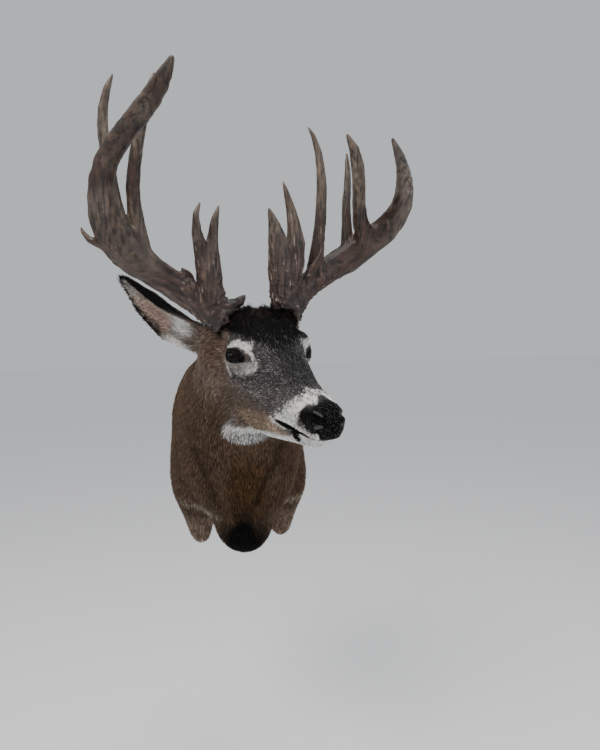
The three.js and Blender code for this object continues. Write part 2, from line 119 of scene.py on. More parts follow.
def mix(a, b, share):
    share = np.asarray(share)[..., None]
    return a * (1 - share) + b * share


def norm(v):
    return np.linalg.norm(v, axis=-1)


def unit(v):
    return v / (norm(v)[..., None] + 1e-12)


def linear(*srgb):
    c = np.array(srgb, float)
    return np.where(c <= 0.04045, c / 12.92, ((c + 0.055) / 1.055) ** 2.4)


def noise(points, size, seed):
    """Smooth noise from -1 to 1 with lumps of a size. The seed tells one pattern from another."""
    q = points / size
    cell = np.floor(q).astype(np.int64)
    t = q - cell
    t = t * t * (3 - 2 * t)
    total = np.zeros(len(points))
    for step in CORNERS:
        at = (cell + step) * np.array((73856093, 19349663, 83492791))
        mixed = (at[:, 0] ^ at[:, 1] ^ at[:, 2]) + seed * 2654435761
        mixed = (mixed ^ (mixed >> 13)) * 1274126177
        value = ((mixed ^ (mixed >> 16)) & 0xFFFF) / 32767.5 - 1
        total += value * np.prod(np.where(step, t, 1 - t), axis=1)
    return total


def polyline_distance(a, b, line):
    """Distance in a plane from points (a, b) to a polyline, and how far along it (0 to 1)."""
    best = np.full(a.shape, 1e9)
    along = np.zeros(a.shape)
    line = np.asarray(line, float)
    for i in range(len(line) - 1):
        (x0, y0), (x1, y1) = line[i], line[i + 1]
        dx, dy = x1 - x0, y1 - y0
        t = np.clip(((a - x0) * dx + (b - y0) * dy) / (dx * dx + dy * dy), 0, 1)
        d = np.hypot(a - x0 - t * dx, b - y0 - t * dy)
        along = np.where(d < best, (i + t) / (len(line) - 1), along)
        best = np.minimum(best, d)
    return best, along


def from_line(a, b, line):
    return polyline_distance(a, b, line)[0]


# ------------------------------------------------------------------ meshes in and out

def read(items, key, width, kind=float):
    """One property of all the items of a mesh, a row for each."""
    flat = np.empty(len(items) * width, kind)
    items.foreach_get(key, flat)
    return flat.reshape(-1, width)


def points_of(piece):
    return read(piece.data.vertices, "co", 3)


def normals_of(piece):
    return read(piece.data.vertex_normals, "vector", 3)


def edges_of(piece):
    return read(piece.data.edges, "vertices", 2, np.int32)


def triangles_of(piece):
    piece.data.calc_loop_triangles()
    return read(piece.data.loop_triangles, "vertices", 3, np.int32)


def node_arrays(name):
    """Points and triangles of a CAD node."""
    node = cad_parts[name]
    return points_of(node), triangles_of(node)


def box_of(names):
    """Lowest and highest corner of some CAD nodes together, in metres."""
    boxes = np.array([[list(corner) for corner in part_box(name)] for name in names])
    return boxes[:, 0].min(axis=0), boxes[:, 1].max(axis=0)


def add_object(name, data):
    thing = bpy.data.objects.new(name, data)
    bpy.context.scene.collection.objects.link(thing)
    return thing


def shade_smooth(mesh):
    mesh.polygons.foreach_set("use_smooth", np.ones(len(mesh.polygons), bool))


def mesh_object(name, points, faces):
    """A mesh object from points and faces that all have as many corners."""
    mesh = bpy.data.meshes.new(name)
    corners = faces.shape[1]
    mesh.vertices.add(len(points))
    mesh.vertices.foreach_set("co", np.asarray(points, np.float32).ravel())
    mesh.loops.add(faces.size)
    mesh.loops.foreach_set("vertex_index", np.asarray(faces, np.int32).ravel())
    mesh.polygons.add(len(faces))
    mesh.polygons.foreach_set("loop_start", np.arange(0, faces.size, corners, dtype=np.int32))
    mesh.update(calc_edges=True)
    shade_smooth(mesh)
    return add_object(name, mesh)


def bmesh_object(name, bm):
    mesh = bpy.data.meshes.new(name)
    bm.to_mesh(mesh)
    bm.free()
    return add_object(name, mesh)


def set_points(piece, points):
    piece.data.vertices.foreach_set("co", np.asarray(points, np.float32).ravel())
    piece.data.update()


def set_colours(piece, name, colours):
    """Stores one colour for each vertex."""
    layer = piece.data.color_attributes.new(name, "FLOAT_COLOR", "POINT")
    rgba = np.ones((len(colours), 4), np.float32)
    rgba[:, : colours.shape[1]] = colours
    layer.data.foreach_set("color", rgba.ravel())


def smoothed(piece, values, rounds, kept, weight=None):
    """Values of a mesh's points evened out over its edges.

    In each round a point keeps a share of its own value and takes the rest from the weighted
    mean of its neighbours' values."""
    a, b = edges_of(piece).T
    weight = np.ones(len(a)) if weight is None else weight

    def gathered(column):
        return (np.bincount(a, weight * column[b], len(column))
                + np.bincount(b, weight * column[a], len(column)))

    whole = gathered(np.ones(len(values)))
    columns = []
    for column in values.reshape(len(values), -1).T:
        for _ in range(rounds):
            column = kept * column + (1 - kept) * gathered(column) / whole
        columns.append(column)
    return np.stack(columns, axis=1).reshape(values.shape)


# ------------------------------------------------------------------ level sets

class Field:
    """Values on a regular grid in the room, in millimetres, read by trilinear interpolation."""

    MARGIN = 6  # cells round the box
    BAND = 5  # cells on either side of a surface over which distances are worked out

    def __init__(self, low, high, voxel):
        self.voxel = voxel
        self.first = np.floor(low / voxel).astype(int) - self.MARGIN
        last = np.ceil(high / voxel).astype(int) + self.MARGIN
        self.values = np.zeros(tuple(last - self.first + 1), np.float32)
        self.corner = tuple(int(i) for i in self.first)
        self.transform = openvdb.createLinearTransform(voxelSize=voxel)

    def centres(self):
        sides = [(np.arange(n) + f) * self.voxel for n, f in zip(self.values.shape, self.first)]
        return np.stack(np.meshgrid(*sides, indexing="ij"), axis=-1)

    def level_set(self, points, triangles):
        """Signed distance to a closed surface, on this grid."""
        grid = openvdb.FloatGrid.createLevelSetFromPolygons(
            points.astype(np.float32), triangles=triangles.astype(np.uint32),
            transform=self.transform, halfWidth=self.BAND)
        found = np.full(self.values.shape, self.BAND * self.voxel, np.float32)
        grid.copyToArray(found, ijk=self.corner)
        return found / MM

    def surface(self, values):
        """Points and quads where the values pass nought."""
        grid = openvdb.FloatGrid()
        grid.background = FAR
        grid.copyFromArray(np.ascontiguousarray(values), ijk=self.corner)
        grid.transform = self.transform
        grid.gridClass = openvdb.GridClass.LEVEL_SET
        points, quads = grid.convertToQuads(isovalue=0.0)
        return points, quads[:, ::-1].astype(np.int32)

    def blur(self, values, reach):
        """Gaussian blur of values on this grid."""
        sigma = reach * MM / self.voxel
        half = int(3 * sigma + 1)
        weights = np.exp(-0.5 * (np.arange(-half, half + 1) / sigma) ** 2)
        weights /= weights.sum()
        for axis in range(3):
            pad = [(0, 0)] * 3
            pad[axis] = (half, half)
            padded = np.pad(values, pad, mode="edge")
            size = values.shape[axis]
            values = sum(w * np.take(padded, np.arange(i, i + size), axis=axis)
                         for i, w in enumerate(weights)).astype(np.float32)
        return values

    def sample(self, points):
        q = points / self.voxel - self.first
        q = np.clip(q, 0, np.array(self.values.shape) - 1.001)
        cell = q.astype(int)
        t = q - cell
        total = np.zeros(len(points))
        for step in CORNERS:
            i, j, k = (cell + step).T
            total += np.prod(np.where(step, t, 1 - t), axis=1) * self.values[i, j, k]
        return total


def united(field, names, swell):
    """One signed distance for several touching nodes, with the thin cuts between them closed."""
    nearest = np.full(field.values.shape, FAR, np.float32)
    for name in names:
        nearest = np.minimum(nearest, field.level_set(*node_arrays(name)))
    points, quads = field.surface(nearest - swell)
    triangles = np.concatenate([quads[:, [0, 1, 2]], quads[:, [0, 2, 3]]])
    return field.level_set(points, triangles) + swell


def only_largest(points, quads):
    """Keeps the biggest connected shell."""
    label = np.arange(len(points))
    before = None
    while before is None or (label != before).any():
        before = label.copy()
        low = label[quads].min(axis=1)
        for k in range(4):
            np.minimum.at(label, quads[:, k], low)
        label = label[label]
    names, counts = np.unique(label[quads[:, 0]], return_counts=True)
    kept = quads[label[quads[:, 0]] == names[counts.argmax()]]
    used, index = np.unique(kept, return_inverse=True)
    return points[used], index.reshape(kept.shape)


# ------------------------------------------------------------------ head features

EYE = np.array((-11.0, 59.0, 0.0))
EYE_RADIUS = 18.0
GAZE = 58.0  # degrees from straight ahead
LID_TILT = -8.0  # degrees, front corner down
LID_THICKNESS = 2.3
OPENING = {"middle": (1.5, 1.2), "front": 12.0, "rear": 11.5, "top": 7.2, "bottom": 7.0}
OPENING_RADIUS = 9.5  # mean
BEHIND_EYE = 30.0  # taken as the distance from the opening there
LID_RIM = (3.6, 5.4)  # distances from the opening between which the black rim ends
LID_REACH = 12
SOCKET_DEPTH = 3.5  # under the eyeball's surface
LID_BLEND, SOCKET_BLEND, NOSTRIL_BLEND = 5.0, 1.4, 2.0
FACE_REAR = -75  # f behind which the face has no features
MOUTH = [  # f, u
    (68, -89), (84, -91.5), (109, -92), (141, -91.5), (166, -92.5), (188, -93.5), (206, -94)]
SEAM_DEPTH, SEAM_WIDTH = 3.6, 2.1
LIP_OFFSET, LIP_WIDTH = 5.5, 4  # from the seam
LIP_SWELLING = {"upper": 1.3, "lower": 0.9}
FLESH = ("ear_left", "ear_right", "lower_jaw", "nose", "head", "neck", "shoulder_right",
         "leg_right", "shoulder_left", "leg_left", "chest")
SKIN_VOXEL = 0.0042  # metres
BACK_SLAB = -0.021  # metres: from here back to the wall the trunk keeps its section
BOARD_CLEARANCE = 0.6
BOARD_RIM = 1.2  # round the board, where no hair grows
HIDE_SETBACK = 1.2
CUT_SWELL = 0.8  # closes the cuts between the nodes
HEAD_BLUR, TRUNK_BLUR = 3.0, 8.0
SLOPE_STEP = 0.0005  # metres
MOST_SHIFT = 1.5  # in one round of pulling the mesh onto the skin
COAT_DEPTH = {"trunk": 9.5, "belly": 7.5, "face": 3.0, "crown": 6.0, "muzzle": 1.8, "pad": 0.3}

# place (f, out, u), radii, height of the swelling (minus: a hollow)
SWELLINGS = [
    ((-8, 52, -72), (34, 26, 32), 2.5),  # chewing muscle
    ((0, 62, -27), (42, 16, 9), 2.0),  # cheek bone
    ((40, 45, -8), (12, 14, 9), -2.5),  # pit before the eye
    ((92, 34, -38), (38, 16, 16), -2.5),  # side of the face before the cheek
    ((-4, 56, 27), (24, 18, 8), 1.8),  # brow
    ((-46, 68, 6), (13, 14, 15), -3.0),  # temple
    ((152, 32, -74), (26, 14, 14), 1.8),  # upper lip
    ((42, 0, 22), (28, 15, 12), -1.6),  # between the eyes
    ((203, 22, -56), (10, 9, 11), 2.2),  # wing of the nostril
    ((212, 0, -72), (10, 3, 14), -1.6),  # groove under the nose
    ((60, 24, 8), (50, 8, 8), 1.0),  # rear edge of the nose bridge
    ((120, 18, -10), (40, 7, 9), 1.0),  # front edge of the nose bridge
    ((165, 14, -112), (18, 14, 8), 1.5),  # chin
]
# polyline in (f, u), half width, depth
FOLDS = {
    "cheek": ([(56, 0), (48, -8), (38, -22), (14, -38)], 2.2, 1.6),
    "lower lid": ([(18, -13), (0, -15), (-20, -12), (-34, -4)], 2.0, 1.0),
    "upper lid": ([(22, 14), (4, 20.5), (-14, 19), (-30, 8)], 2.0, 1.2),
    "duct": ([(25, 9), (31, -2), (35, -12)], 1.6, 1.8),
}
# capsules: ends (f, out, u) and radius
NOSTRIL = [((212, 13, -63), (203, 23, -58), 5.2), ((203, 23, -58), (192, 29, -56), 5.0),
           ((192, 29, -56), (186, 32, -55), 3.0)]
# painted highlights on the upper rim of each nostril and on the bar beneath it
NOSTRIL_RIM_HIGHLIGHT = [((209, 15, -54), (203, 20, -50), 1.4), ((203, 20, -50), (199, 23, -49), 1.2)]
NOSTRIL_BAR_HIGHLIGHT = ((207, 24, -71), (212, 17, -69), 2.1)

# creases of the coat where the neck meets the shoulders: x and z on the front
CREASES = [
    [(-112, 22), (-98, -20), (-86, -56), (-74, -84)],
    [(44, 34), (24, -14), (6, -52), (-6, -80)],
]
CREASE_REAR = -200  # y behind which there are none
CREASE_DEPTH, CREASE_WIDTH = 4.5, 13


def eye_axes(side):
    """Gaze, towards the nose, and up, for the eye on one side, in the head's frame."""
    g = math.radians(GAZE)
    gaze = np.array((math.cos(g), side * math.sin(g), 0.0))
    nosewards = np.array((math.sin(g), -side * math.cos(g), 0.0))
    tilt = math.radians(LID_TILT)
    up = np.array((0.0, 0.0, 1.0))
    return gaze, (nosewards * math.cos(tilt) + up * math.sin(tilt),
                  up * math.cos(tilt) - nosewards * math.sin(tilt))


def aperture(head, side):
    """How far outside the opening between the lids points lie, along the eyeball, and how far
    from the eyeball's middle."""
    q = head - EYE * (1, side, 1)
    radius = norm(q) + 1e-9
    gaze, (nosewards, up) = eye_axes(side)
    scale = EYE_RADIUS / radius
    x, y, front = q @ nosewards * scale, q @ up * scale, q @ gaze * scale
    x, y = x - OPENING["middle"][0], y - OPENING["middle"][1]
    wide = np.where(x > 0, OPENING["front"], OPENING["rear"])
    high = np.where(y > 0, OPENING["top"], OPENING["bottom"])
    ratio = (np.abs(x / wide) ** 1.8 + np.abs(y / high) ** 2) ** 0.5
    outside = (ratio - 1) * OPENING_RADIUS + 1.6 * np.maximum(radius - EYE_RADIUS - 5, 0)
    return np.where(front > 0, outside, BEHIND_EYE), radius


def lid_distance(head, reach):
    """Distance from the opening of the nearer eye, for points within reach of its ball."""
    nearest = np.full(len(head), FAR)
    for side in SIDES.values():
        outside, radius = aperture(head, side)
        nearest = np.minimum(nearest, np.where(radius < EYE_RADIUS + reach, outside, FAR))
    return nearest


def soft_min(a, b, reach):
    t = np.clip(0.5 + 0.5 * (b - a) / reach, 0, 1)
    return b * (1 - t) + a * t - reach * t * (1 - t)


def soft_max(a, b, reach):
    return -soft_min(-a, -b, reach)


def capsule(head, a, b, radius):
    a, b = np.array(a, float), np.array(b, float)
    t = np.clip((head - a) @ (b - a) / ((b - a) @ (b - a)), 0, 1)
    return norm(head - a - t[:, None] * (b - a)) - radius


def coat_depth(room, head):
    """Depth of the coat, from the skin out to the tips of the hair."""
    f, out, u = folded(head)
    y, z = room[..., 1] / MM, room[..., 2] / MM
    crown = ramp(u, 30, 62) * ramp(f, -150, -100) * fall(f, -10, 35) * fall(out, 70, 85)
    depth = COAT_DEPTH["trunk"]
    for name, share in (("belly", fall(z, -190, -120)), ("face", ramp(f, -95, -45)),
                        ("crown", crown), ("muzzle", ramp(f, 40, 110)),
                        ("pad", ramp(f, 172, 192))):
        depth = depth + (COAT_DEPTH[name] - depth) * share
    return depth * (1 - 0.85 * ramp(y, -26, -4))


def features(head):
    """What the skin adds to the smoothed solids near the face: mm to add to the field."""
    f, out, u = folded(head)
    change = np.zeros(len(head))
    for (cf, cl, cu), (rf, rl, ru), height in SWELLINGS:
        change -= height * bell((f - cf) / rf, (out - cl) / rl, (u - cu) / ru)
    for line, half, deep in FOLDS.values():
        change += deep * bell(from_line(f, u, line) / half) * (out > 20)
    mouth = SEAM_DEPTH * bell(from_line(f, u, MOUTH) / SEAM_WIDTH)
    for name, offset in (("upper", LIP_OFFSET), ("lower", -LIP_OFFSET)):
        mouth = mouth - LIP_SWELLING[name] * bell(from_line(f, u - offset, MOUTH) / LIP_WIDTH)
    return change + ramp(f, 62, 84) * mouth


def skin_field(field, room):
    """The skin's implicit function at room points: minus inside, nought on the skin."""
    head = to_head(room)
    value = field.sample(room)
    near = head[:, 0] > FACE_REAR
    h = head[near]
    v = value[near] + features(h)
    for side in SIDES.values():
        outside, radius = aperture(h, side)
        lid = radius - (EYE_RADIUS + LID_THICKNESS * (0.55 + 0.45 * ramp(outside, 0, 5)))
        lid = lid + 1.5 * np.maximum(outside - LID_REACH, 0)
        v = soft_min(v, lid, LID_BLEND)
        socket = np.maximum(outside, EYE_RADIUS - SOCKET_DEPTH - radius)
        v = soft_max(v, -socket, SOCKET_BLEND)
        for a, b, r in NOSTRIL:
            v = soft_max(v, -capsule(h * (1, side, 1), a, b, r), NOSTRIL_BLEND)
    value[near] = v
    return value


def crease_distance(mm):
    """Distance to the nearest crease at the front of the chest."""
    x, y, z = mm.T
    nearest = np.min([from_line(x, z, line) for line in CREASES], axis=0)
    return nearest + 200 * (y > CREASE_REAR)


def build_skin_grid():
    field = Field(*box_of(n for n in FLESH if not n.startswith("ear")), voxel=SKIN_VOXEL)
    whole = united(field, FLESH + ("eye_left", "eye_right", "backboard"), CUT_SWELL)
    room = field.centres()
    head = to_head(room)
    behind = int(round(BACK_SLAB / field.voxel)) - field.first[1]
    whole[:, behind:] = whole[:, behind : behind + 1]
    on_head = ramp(head[..., 0], -150, -80)
    values = (field.blur(whole, HEAD_BLUR) * on_head
              + field.blur(whole, TRUNK_BLUR) * (1 - on_head) + coat_depth(room, head))
    crease = crease_distance(room.reshape(-1, 3) / MM).reshape(values.shape)
    values = values + CREASE_DEPTH * bell(crease / CREASE_WIDTH)
    board = field.level_set(*node_arrays("backboard"))
    values = np.maximum(values, BOARD_CLEARANCE - board)
    values = np.maximum(values, room[..., 1] / MM + HIDE_SETBACK)
    field.values = values.astype(np.float32)
    return field


def refine(piece, chosen):
    """Splits every face with all its corners chosen into four."""
    bm = bmesh.new()
    bm.from_mesh(piece.data)
    bm.verts.ensure_lookup_table()
    edges = [e for e in bm.edges if chosen[e.verts[0].index] and chosen[e.verts[1].index]]
    bmesh.ops.subdivide_edges(bm, edges=edges, cuts=1, use_grid_fill=True)
    bm.to_mesh(piece.data)
    bm.free()


def relax_and_project(piece, field, rounds=3):
    """Evens out the mesh along the surface and pulls it back onto the skin's function."""
    p = points_of(piece)
    for _ in range(rounds):
        p = smoothed(piece, p, rounds=1, kept=0.5)
        value = skin_field(field, p)
        slope = np.stack([skin_field(field, p + step) - skin_field(field, p - step)
                          for step in SLOPE_STEP * np.eye(3)], axis=1) / (2 * SLOPE_STEP / MM)
        shift = np.clip(value / np.maximum(norm(slope), 0.3), -MOST_SHIFT, MOST_SHIFT)
        p = p - unit(slope) * shift[:, None] * MM
    set_points(piece, p)


def on_face(head):
    return head[:, 0] > -50


def on_fine_forms(head):
    """Round the eyes, the nostrils and the lips."""
    f, out, u = folded(head)
    eye = norm(np.stack([f, out, u], 1) - EYE) < EYE_RADIUS + 13
    nose = (f > 176) & (u > -82) & (out > 5)
    mouth = (f > 60) & (from_line(f, u, MOUTH) < 6)
    return eye | nose | mouth


def build_skin(field):
    room = field.centres().reshape(-1, 3)
    values = field.values.copy()
    flat = values.reshape(-1)
    near = (to_head(room)[:, 0] > FACE_REAR) & (np.abs(flat) < 25)
    flat[near] = skin_field(field, room[near])
    piece = mesh_object("skin", *only_largest(*field.surface(values)))
    relax_and_project(piece, field)
    for chosen in (on_face, on_fine_forms):
        refine(piece, chosen(to_head(points_of(piece))))
        relax_and_project(piece, field)
    return piece


# ------------------------------------------------------------------ ears

EARS = {  # root, tip, way the mouth of the ear faces: f, out, u
    "right": ((-88, 60, -2), (-212, 210, 122), (0.42, 0.78, -0.44)),
    "left": ((-86, 66, 6), (-226, 148, 112), (0.4, 0.86, -0.32)),
}
EAR_STATIONS = np.array([  # share of the length, half width, depth of the cup, thickness
    (0, 29, 0, 34), (0.14, 35.5, 4, 15), (0.28, 41.5, 18, 4.6), (0.45, 46, 24, 3.8),
    (0.62, 43.5, 20, 3.6), (0.78, 32.5, 13, 3.4), (0.9, 20, 7, 3), (0.965, 11.5, 3.5, 2.6),
    (1, 2, 1, 1.4)])
EAR_FOLD = np.array([  # share of the length, place across of the rolled-over rim's edge
    (0.3, -0.4), (0.45, -0.1), (0.6, 0.1), (0.72, 0.08), (0.85, -0.15), (0.93, -0.4), (1, -0.5)])
EAR_RIDGES = (0.9, 11)  # height, and turns of the wave across the inside
EAR_WAVE = (1.2, 23)  # height, and turns of the wave along the edges
FOLD_HEIGHT = 6.5
EAR_RINGS = 60
EAR_ROUND = 52  # points in a ring


def ear_place(side_name):
    """Root, direction, across and mouth axes of an ear in the head's frame, and its length."""
    root, tip, mouth = (np.array(v, float) * (1, SIDES[side_name], 1) for v in EARS[side_name])
    along = tip - root
    length = np.linalg.norm(along)
    along = along / length
    mouth = unit(mouth - along * (mouth @ along))
    return root, along, np.cross(along, mouth), mouth, length


def ear_section(share):
    """Half width, depth of the cup and thickness at shares of an ear's length."""
    return (np.interp(share, EAR_STATIONS[:, 0], EAR_STATIONS[:, k]) for k in (1, 2, 3))


def from_upper_edge(side_name, across):
    """Place across an ear, from -1 at its upper edge to 1 at its lower edge."""
    return across * SIDES[side_name]


def fold_line(share):
    """Where the edge of the rolled-over upper rim lies, from -1 at the upper edge."""
    return np.interp(share, *EAR_FOLD.T)


def ear_point(side_name, share, across, half_thick):
    """A point of the ear's blade: share along it, across from -1 to 1, off its middle sheet."""
    root, along, side_way, mouth, length = ear_place(side_name)
    half, cup, thick = ear_section(share)
    inner = half_thick < 0
    ridges = EAR_RIDGES[0] * np.cos(across * EAR_RIDGES[1]) * (1 - across ** 2)
    ridges = ridges * ramp(share, 0.15, 0.35) * fall(share, 0.6, 0.9)
    wave = EAR_WAVE[0] * np.sin(share * EAR_WAVE[1]) * across ** 2 * ramp(share, 0.3, 0.5)
    depth = half_thick * thick / 2 * np.sqrt(np.clip(1 - across * across * 0.97, 0, 1))
    depth = depth + wave + np.where(inner, ridges, 0)
    fold = fold_line(share)
    roll = (fold - from_upper_edge(side_name, across)) / (fold + 1)
    roll = np.sin(math.pi * np.clip(roll, 0, 1)) ** 0.6
    roll = roll * ramp(share, 0.24, 0.4) * fall(share, 0.84, 0.98)
    depth = depth - np.where(inner, FOLD_HEIGHT * roll, 0)
    sag = cup * (1 - across * across) + depth
    return (root + along * (share * length)[:, None] + side_way * (across * half)[:, None]
            + mouth * (cup - sag)[:, None])


def build_ear(side_name):
    """The ear as one closed blade, rolled into a solid stem at its root."""
    angle = np.linspace(0, 2 * math.pi, EAR_ROUND, endpoint=False)
    share = np.repeat(np.linspace(0.02, 1, EAR_RINGS), EAR_ROUND)
    across = np.tile(-np.cos(angle), EAR_RINGS)
    sheet = np.tile(np.sin(angle), EAR_RINGS)
    thick = -np.sign(sheet) * np.minimum(1, np.abs(sheet) * 1.6)
    bm = bmesh.new()
    verts = [bm.verts.new(p) for p in to_room(ear_point(side_name, share, across, thick))]
    rings = np.arange(len(verts)).reshape(EAR_RINGS, -1)
    following = np.roll(rings, -1, axis=1)
    quads = np.stack([rings[:-1], following[:-1], following[1:], rings[1:]], axis=-1)
    for face in (*quads.transpose(1, 0, 2).reshape(-1, 4), rings[0], rings[-1]):
        bm.faces.new([verts[i] for i in face])
    bmesh.ops.recalc_face_normals(bm, faces=bm.faces)
    bmesh.ops.triangulate(bm, faces=[f for f in bm.faces if len(f.verts) > 4])
    return bmesh_object("ear_form_" + side_name, bm)


def unite(piece, others):
    """Boolean union of closed meshes into the first one."""
    for other in others:
        join = piece.modifiers.new("join", "BOOLEAN")
        join.operation = "UNION"
        join.solver = "MANIFOLD"
        join.object = other
    graph = bpy.context.evaluated_depsgraph_get()
    mesh = bpy.data.meshes.new_from_object(piece.evaluated_get(graph))
    piece.modifiers.clear()
    piece.data = mesh
    for other in others:
        bpy.data.objects.remove(other)
    shade_smooth(mesh)


# ------------------------------------------------------------------ antlers

ANTLER_VOXEL = 0.0021  # metres
ANTLER_CUT_SWELL, ANTLER_BLUR, ANTLER_GROWTH = 0.5, 2.0, 0.25
RELIEF = {"grooves": 0.72, "fine": 0.22, "pearls": 2.1, "knobs": 3.0, "base": -0.8}
BURRS = {"right": (-70, -62, 60), "left": (-70, 60, 66)}  # middles, in (f, l, u)
STUB = (-54, -38, 88)  # short tine by the right burr
HORN = {
    "dark": linear(0.13, 0.095, 0.08), "mid": linear(0.28, 0.215, 0.18),
    # pale: the colour of the painted highlights on the pearls and fine ridges
    "grey": linear(0.50, 0.45, 0.395), "pale": linear(0.74, 0.68, 0.62),
    "foot": linear(0.12, 0.095, 0.085), "tip": linear(0.50, 0.44, 0.37),
    "stub": linear(0.13, 0.10, 0.09),
}
BROWNER, MORE_PURPLE = np.array((0.86, 0.72, 0.62)), np.array((1.06, 0.90, 1.02))


def antler_nodes(side_name):
    return sorted(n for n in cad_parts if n.startswith("antler_" + side_name))


def from_burr(head, side_name):
    return norm(head - np.array(BURRS[side_name], float))


def branch_axes(piece):
    """For each point, the direction of the branch it lies on.

    All normals round a branch lie across it, so its axis is where their spread is least."""
    n = normals_of(piece)
    spread = (n[:, :, None] * n[:, None, :]).reshape(-1, 9)
    spread = smoothed(piece, spread, rounds=70, kept=0.4)
    _, vectors = np.linalg.eigh(spread.reshape(-1, 3, 3))
    return vectors[:, :, 0]


def streaks(piece, axis, rounds, seed, sharp=10.0):
    """A random value at each point, drawn out along the given direction. Spread is about 1."""
    p = points_of(piece)
    a, b = edges_of(piece).T
    way = unit(p[b] - p[a])
    weight = np.minimum(np.abs((way * axis[a]).sum(1)), np.abs((way * axis[b]).sum(1)))
    value = np.random.default_rng(seed).normal(size=len(p))
    value = smoothed(piece, value, rounds, kept=0.35, weight=weight ** sharp + 0.004)
    return value / (value.std() + 1e-9)


def slimness(piece):
    """0 on stout branches and 1 on slim ones, from how sharply the surface bends."""
    p, n = points_of(piece), normals_of(piece)
    edges = edges_of(piece)
    a, b = edges.T
    bend = norm(n[a] - n[b]) / (norm(p[a] - p[b]) / MM + 1e-6)
    total = np.bincount(edges.ravel(), np.repeat(bend, 2), len(p))
    mean = total / np.bincount(edges.ravel(), minlength=len(p))
    return ramp(smoothed(piece, mean, rounds=30, kept=0.4), 0.055, 0.14)


def antler_form(side_name):
    """The smooth antler: its nodes joined, with their edges rounded off."""
    nodes = antler_nodes(side_name)
    field = Field(*box_of(nodes), voxel=ANTLER_VOXEL)
    values = field.blur(united(field, nodes, ANTLER_CUT_SWELL), ANTLER_BLUR) - ANTLER_GROWTH
    return mesh_object("antler_" + side_name, *only_largest(*field.surface(values)))


def antler_relief(at):
    """Height of the grooves, ridges, pearls and knobs over the smooth antler."""
    knobs = np.clip(noise(at.mm, 8.0, seed=8) + 0.7 * noise(at.mm, 4.5, seed=9) + 0.4, 0, 2)
    shares = {
        "grooves": np.clip(at.grooves, -2.2, 1.6) * (1 - 0.55 * at.upper) * (1 - 0.8 * at.slim),
        "fine": np.clip(at.fine, -2, 2) * (1 - at.slim),
        "pearls": at.pearls * at.low * fall(at.reach, 50, 150),
        "knobs": knobs * fall(at.reach, 36, 60),
        "base": 1,
    }
    return sum(RELIEF[name] * share for name, share in shares.items()) * (1 - 0.6 * at.slim)


def antler_colour(at):
    """Dark grooves, grey and brown weathering, painted highlights on the pearls and fine ridges, a
    dark foot and pale tips.
    """
    tone = 0.52 + 0.34 * np.clip(at.grooves, -1.8, 1.8) + 0.20 * np.clip(at.fine, -2, 2)
    colour = mix(HORN["dark"], HORN["mid"], np.clip(tone, 0, 1))
    patch = noise(at.mm, 70, seed=21) + 0.5 * noise(at.mm, 25, seed=22)
    weathered = (0.16 + 0.26 * at.upper) * ramp(patch, -0.5, 0.7) * (0.3 + tone)
    colour = mix(colour, HORN["grey"], np.clip(weathered, 0, 0.6))
    colour = mix(colour, colour * BROWNER, fall(patch, -0.8, 0.1))
    # painted highlights: pale glints on the tops of the pearls and sparkle along the fine ridges
    painted_glint = ramp(at.pearls, 0.85, 1.3) * fall(at.reach, 50, 150)
    painted_sparkle = ramp(at.fine, 1.9, 2.8) * fall(at.reach, 80, 240)
    colour = mix(colour, HORN["pale"], np.clip(0.6 * painted_glint + 0.5 * painted_sparkle, 0, 0.7))
    foot = fall(at.reach, 30, 46) * fall(at.pearls, 0.2, 0.7)
    colour = mix(colour, HORN["foot"], 0.8 * foot)
    colour = mix(colour, HORN["tip"], 0.12 * at.slim * ramp(at.head[:, 2], 100, 200))
    stub = fall(norm(at.head - STUB), 16, 34) * fall(at.pearls, 0.1, 0.6)
    colour = mix(colour, HORN["stub"], 0.75 * stub)
    colour = mix(colour, colour * MORE_PURPLE, at.low * 0.5)
    pits = noise(at.mm, 2.8, seed=24) + 0.5 * noise(at.mm, 7, seed=25)
    return colour * np.exp(0.26 * pits)[:, None]


def build_antler(side_name):
    piece = antler_form(side_name)
    axis = branch_axes(piece)
    p, n = points_of(piece), normals_of(piece)
    mm, head = p / MM, to_head(p)
    reach = from_burr(head, side_name)
    pearls = np.clip(noise(mm, 4.6, seed=5) + 0.6 * noise(mm, 3.2, seed=6), 0, 2)
    at = SimpleNamespace(
        mm=mm, head=head, reach=reach, pearls=pearls, slim=slimness(piece),
        low=fall(reach, 60, 200), upper=ramp(head[:, 2], 90, 330),
        grooves=streaks(piece, axis, 60, seed=3), fine=streaks(piece, axis, 22, seed=4, sharp=6.0))
    set_points(piece, p + n * (antler_relief(at) * MM)[:, None])
    set_colours(piece, "Tone", np.column_stack([antler_colour(at), at.slim]))
    return piece


# ------------------------------------------------------------------ markings

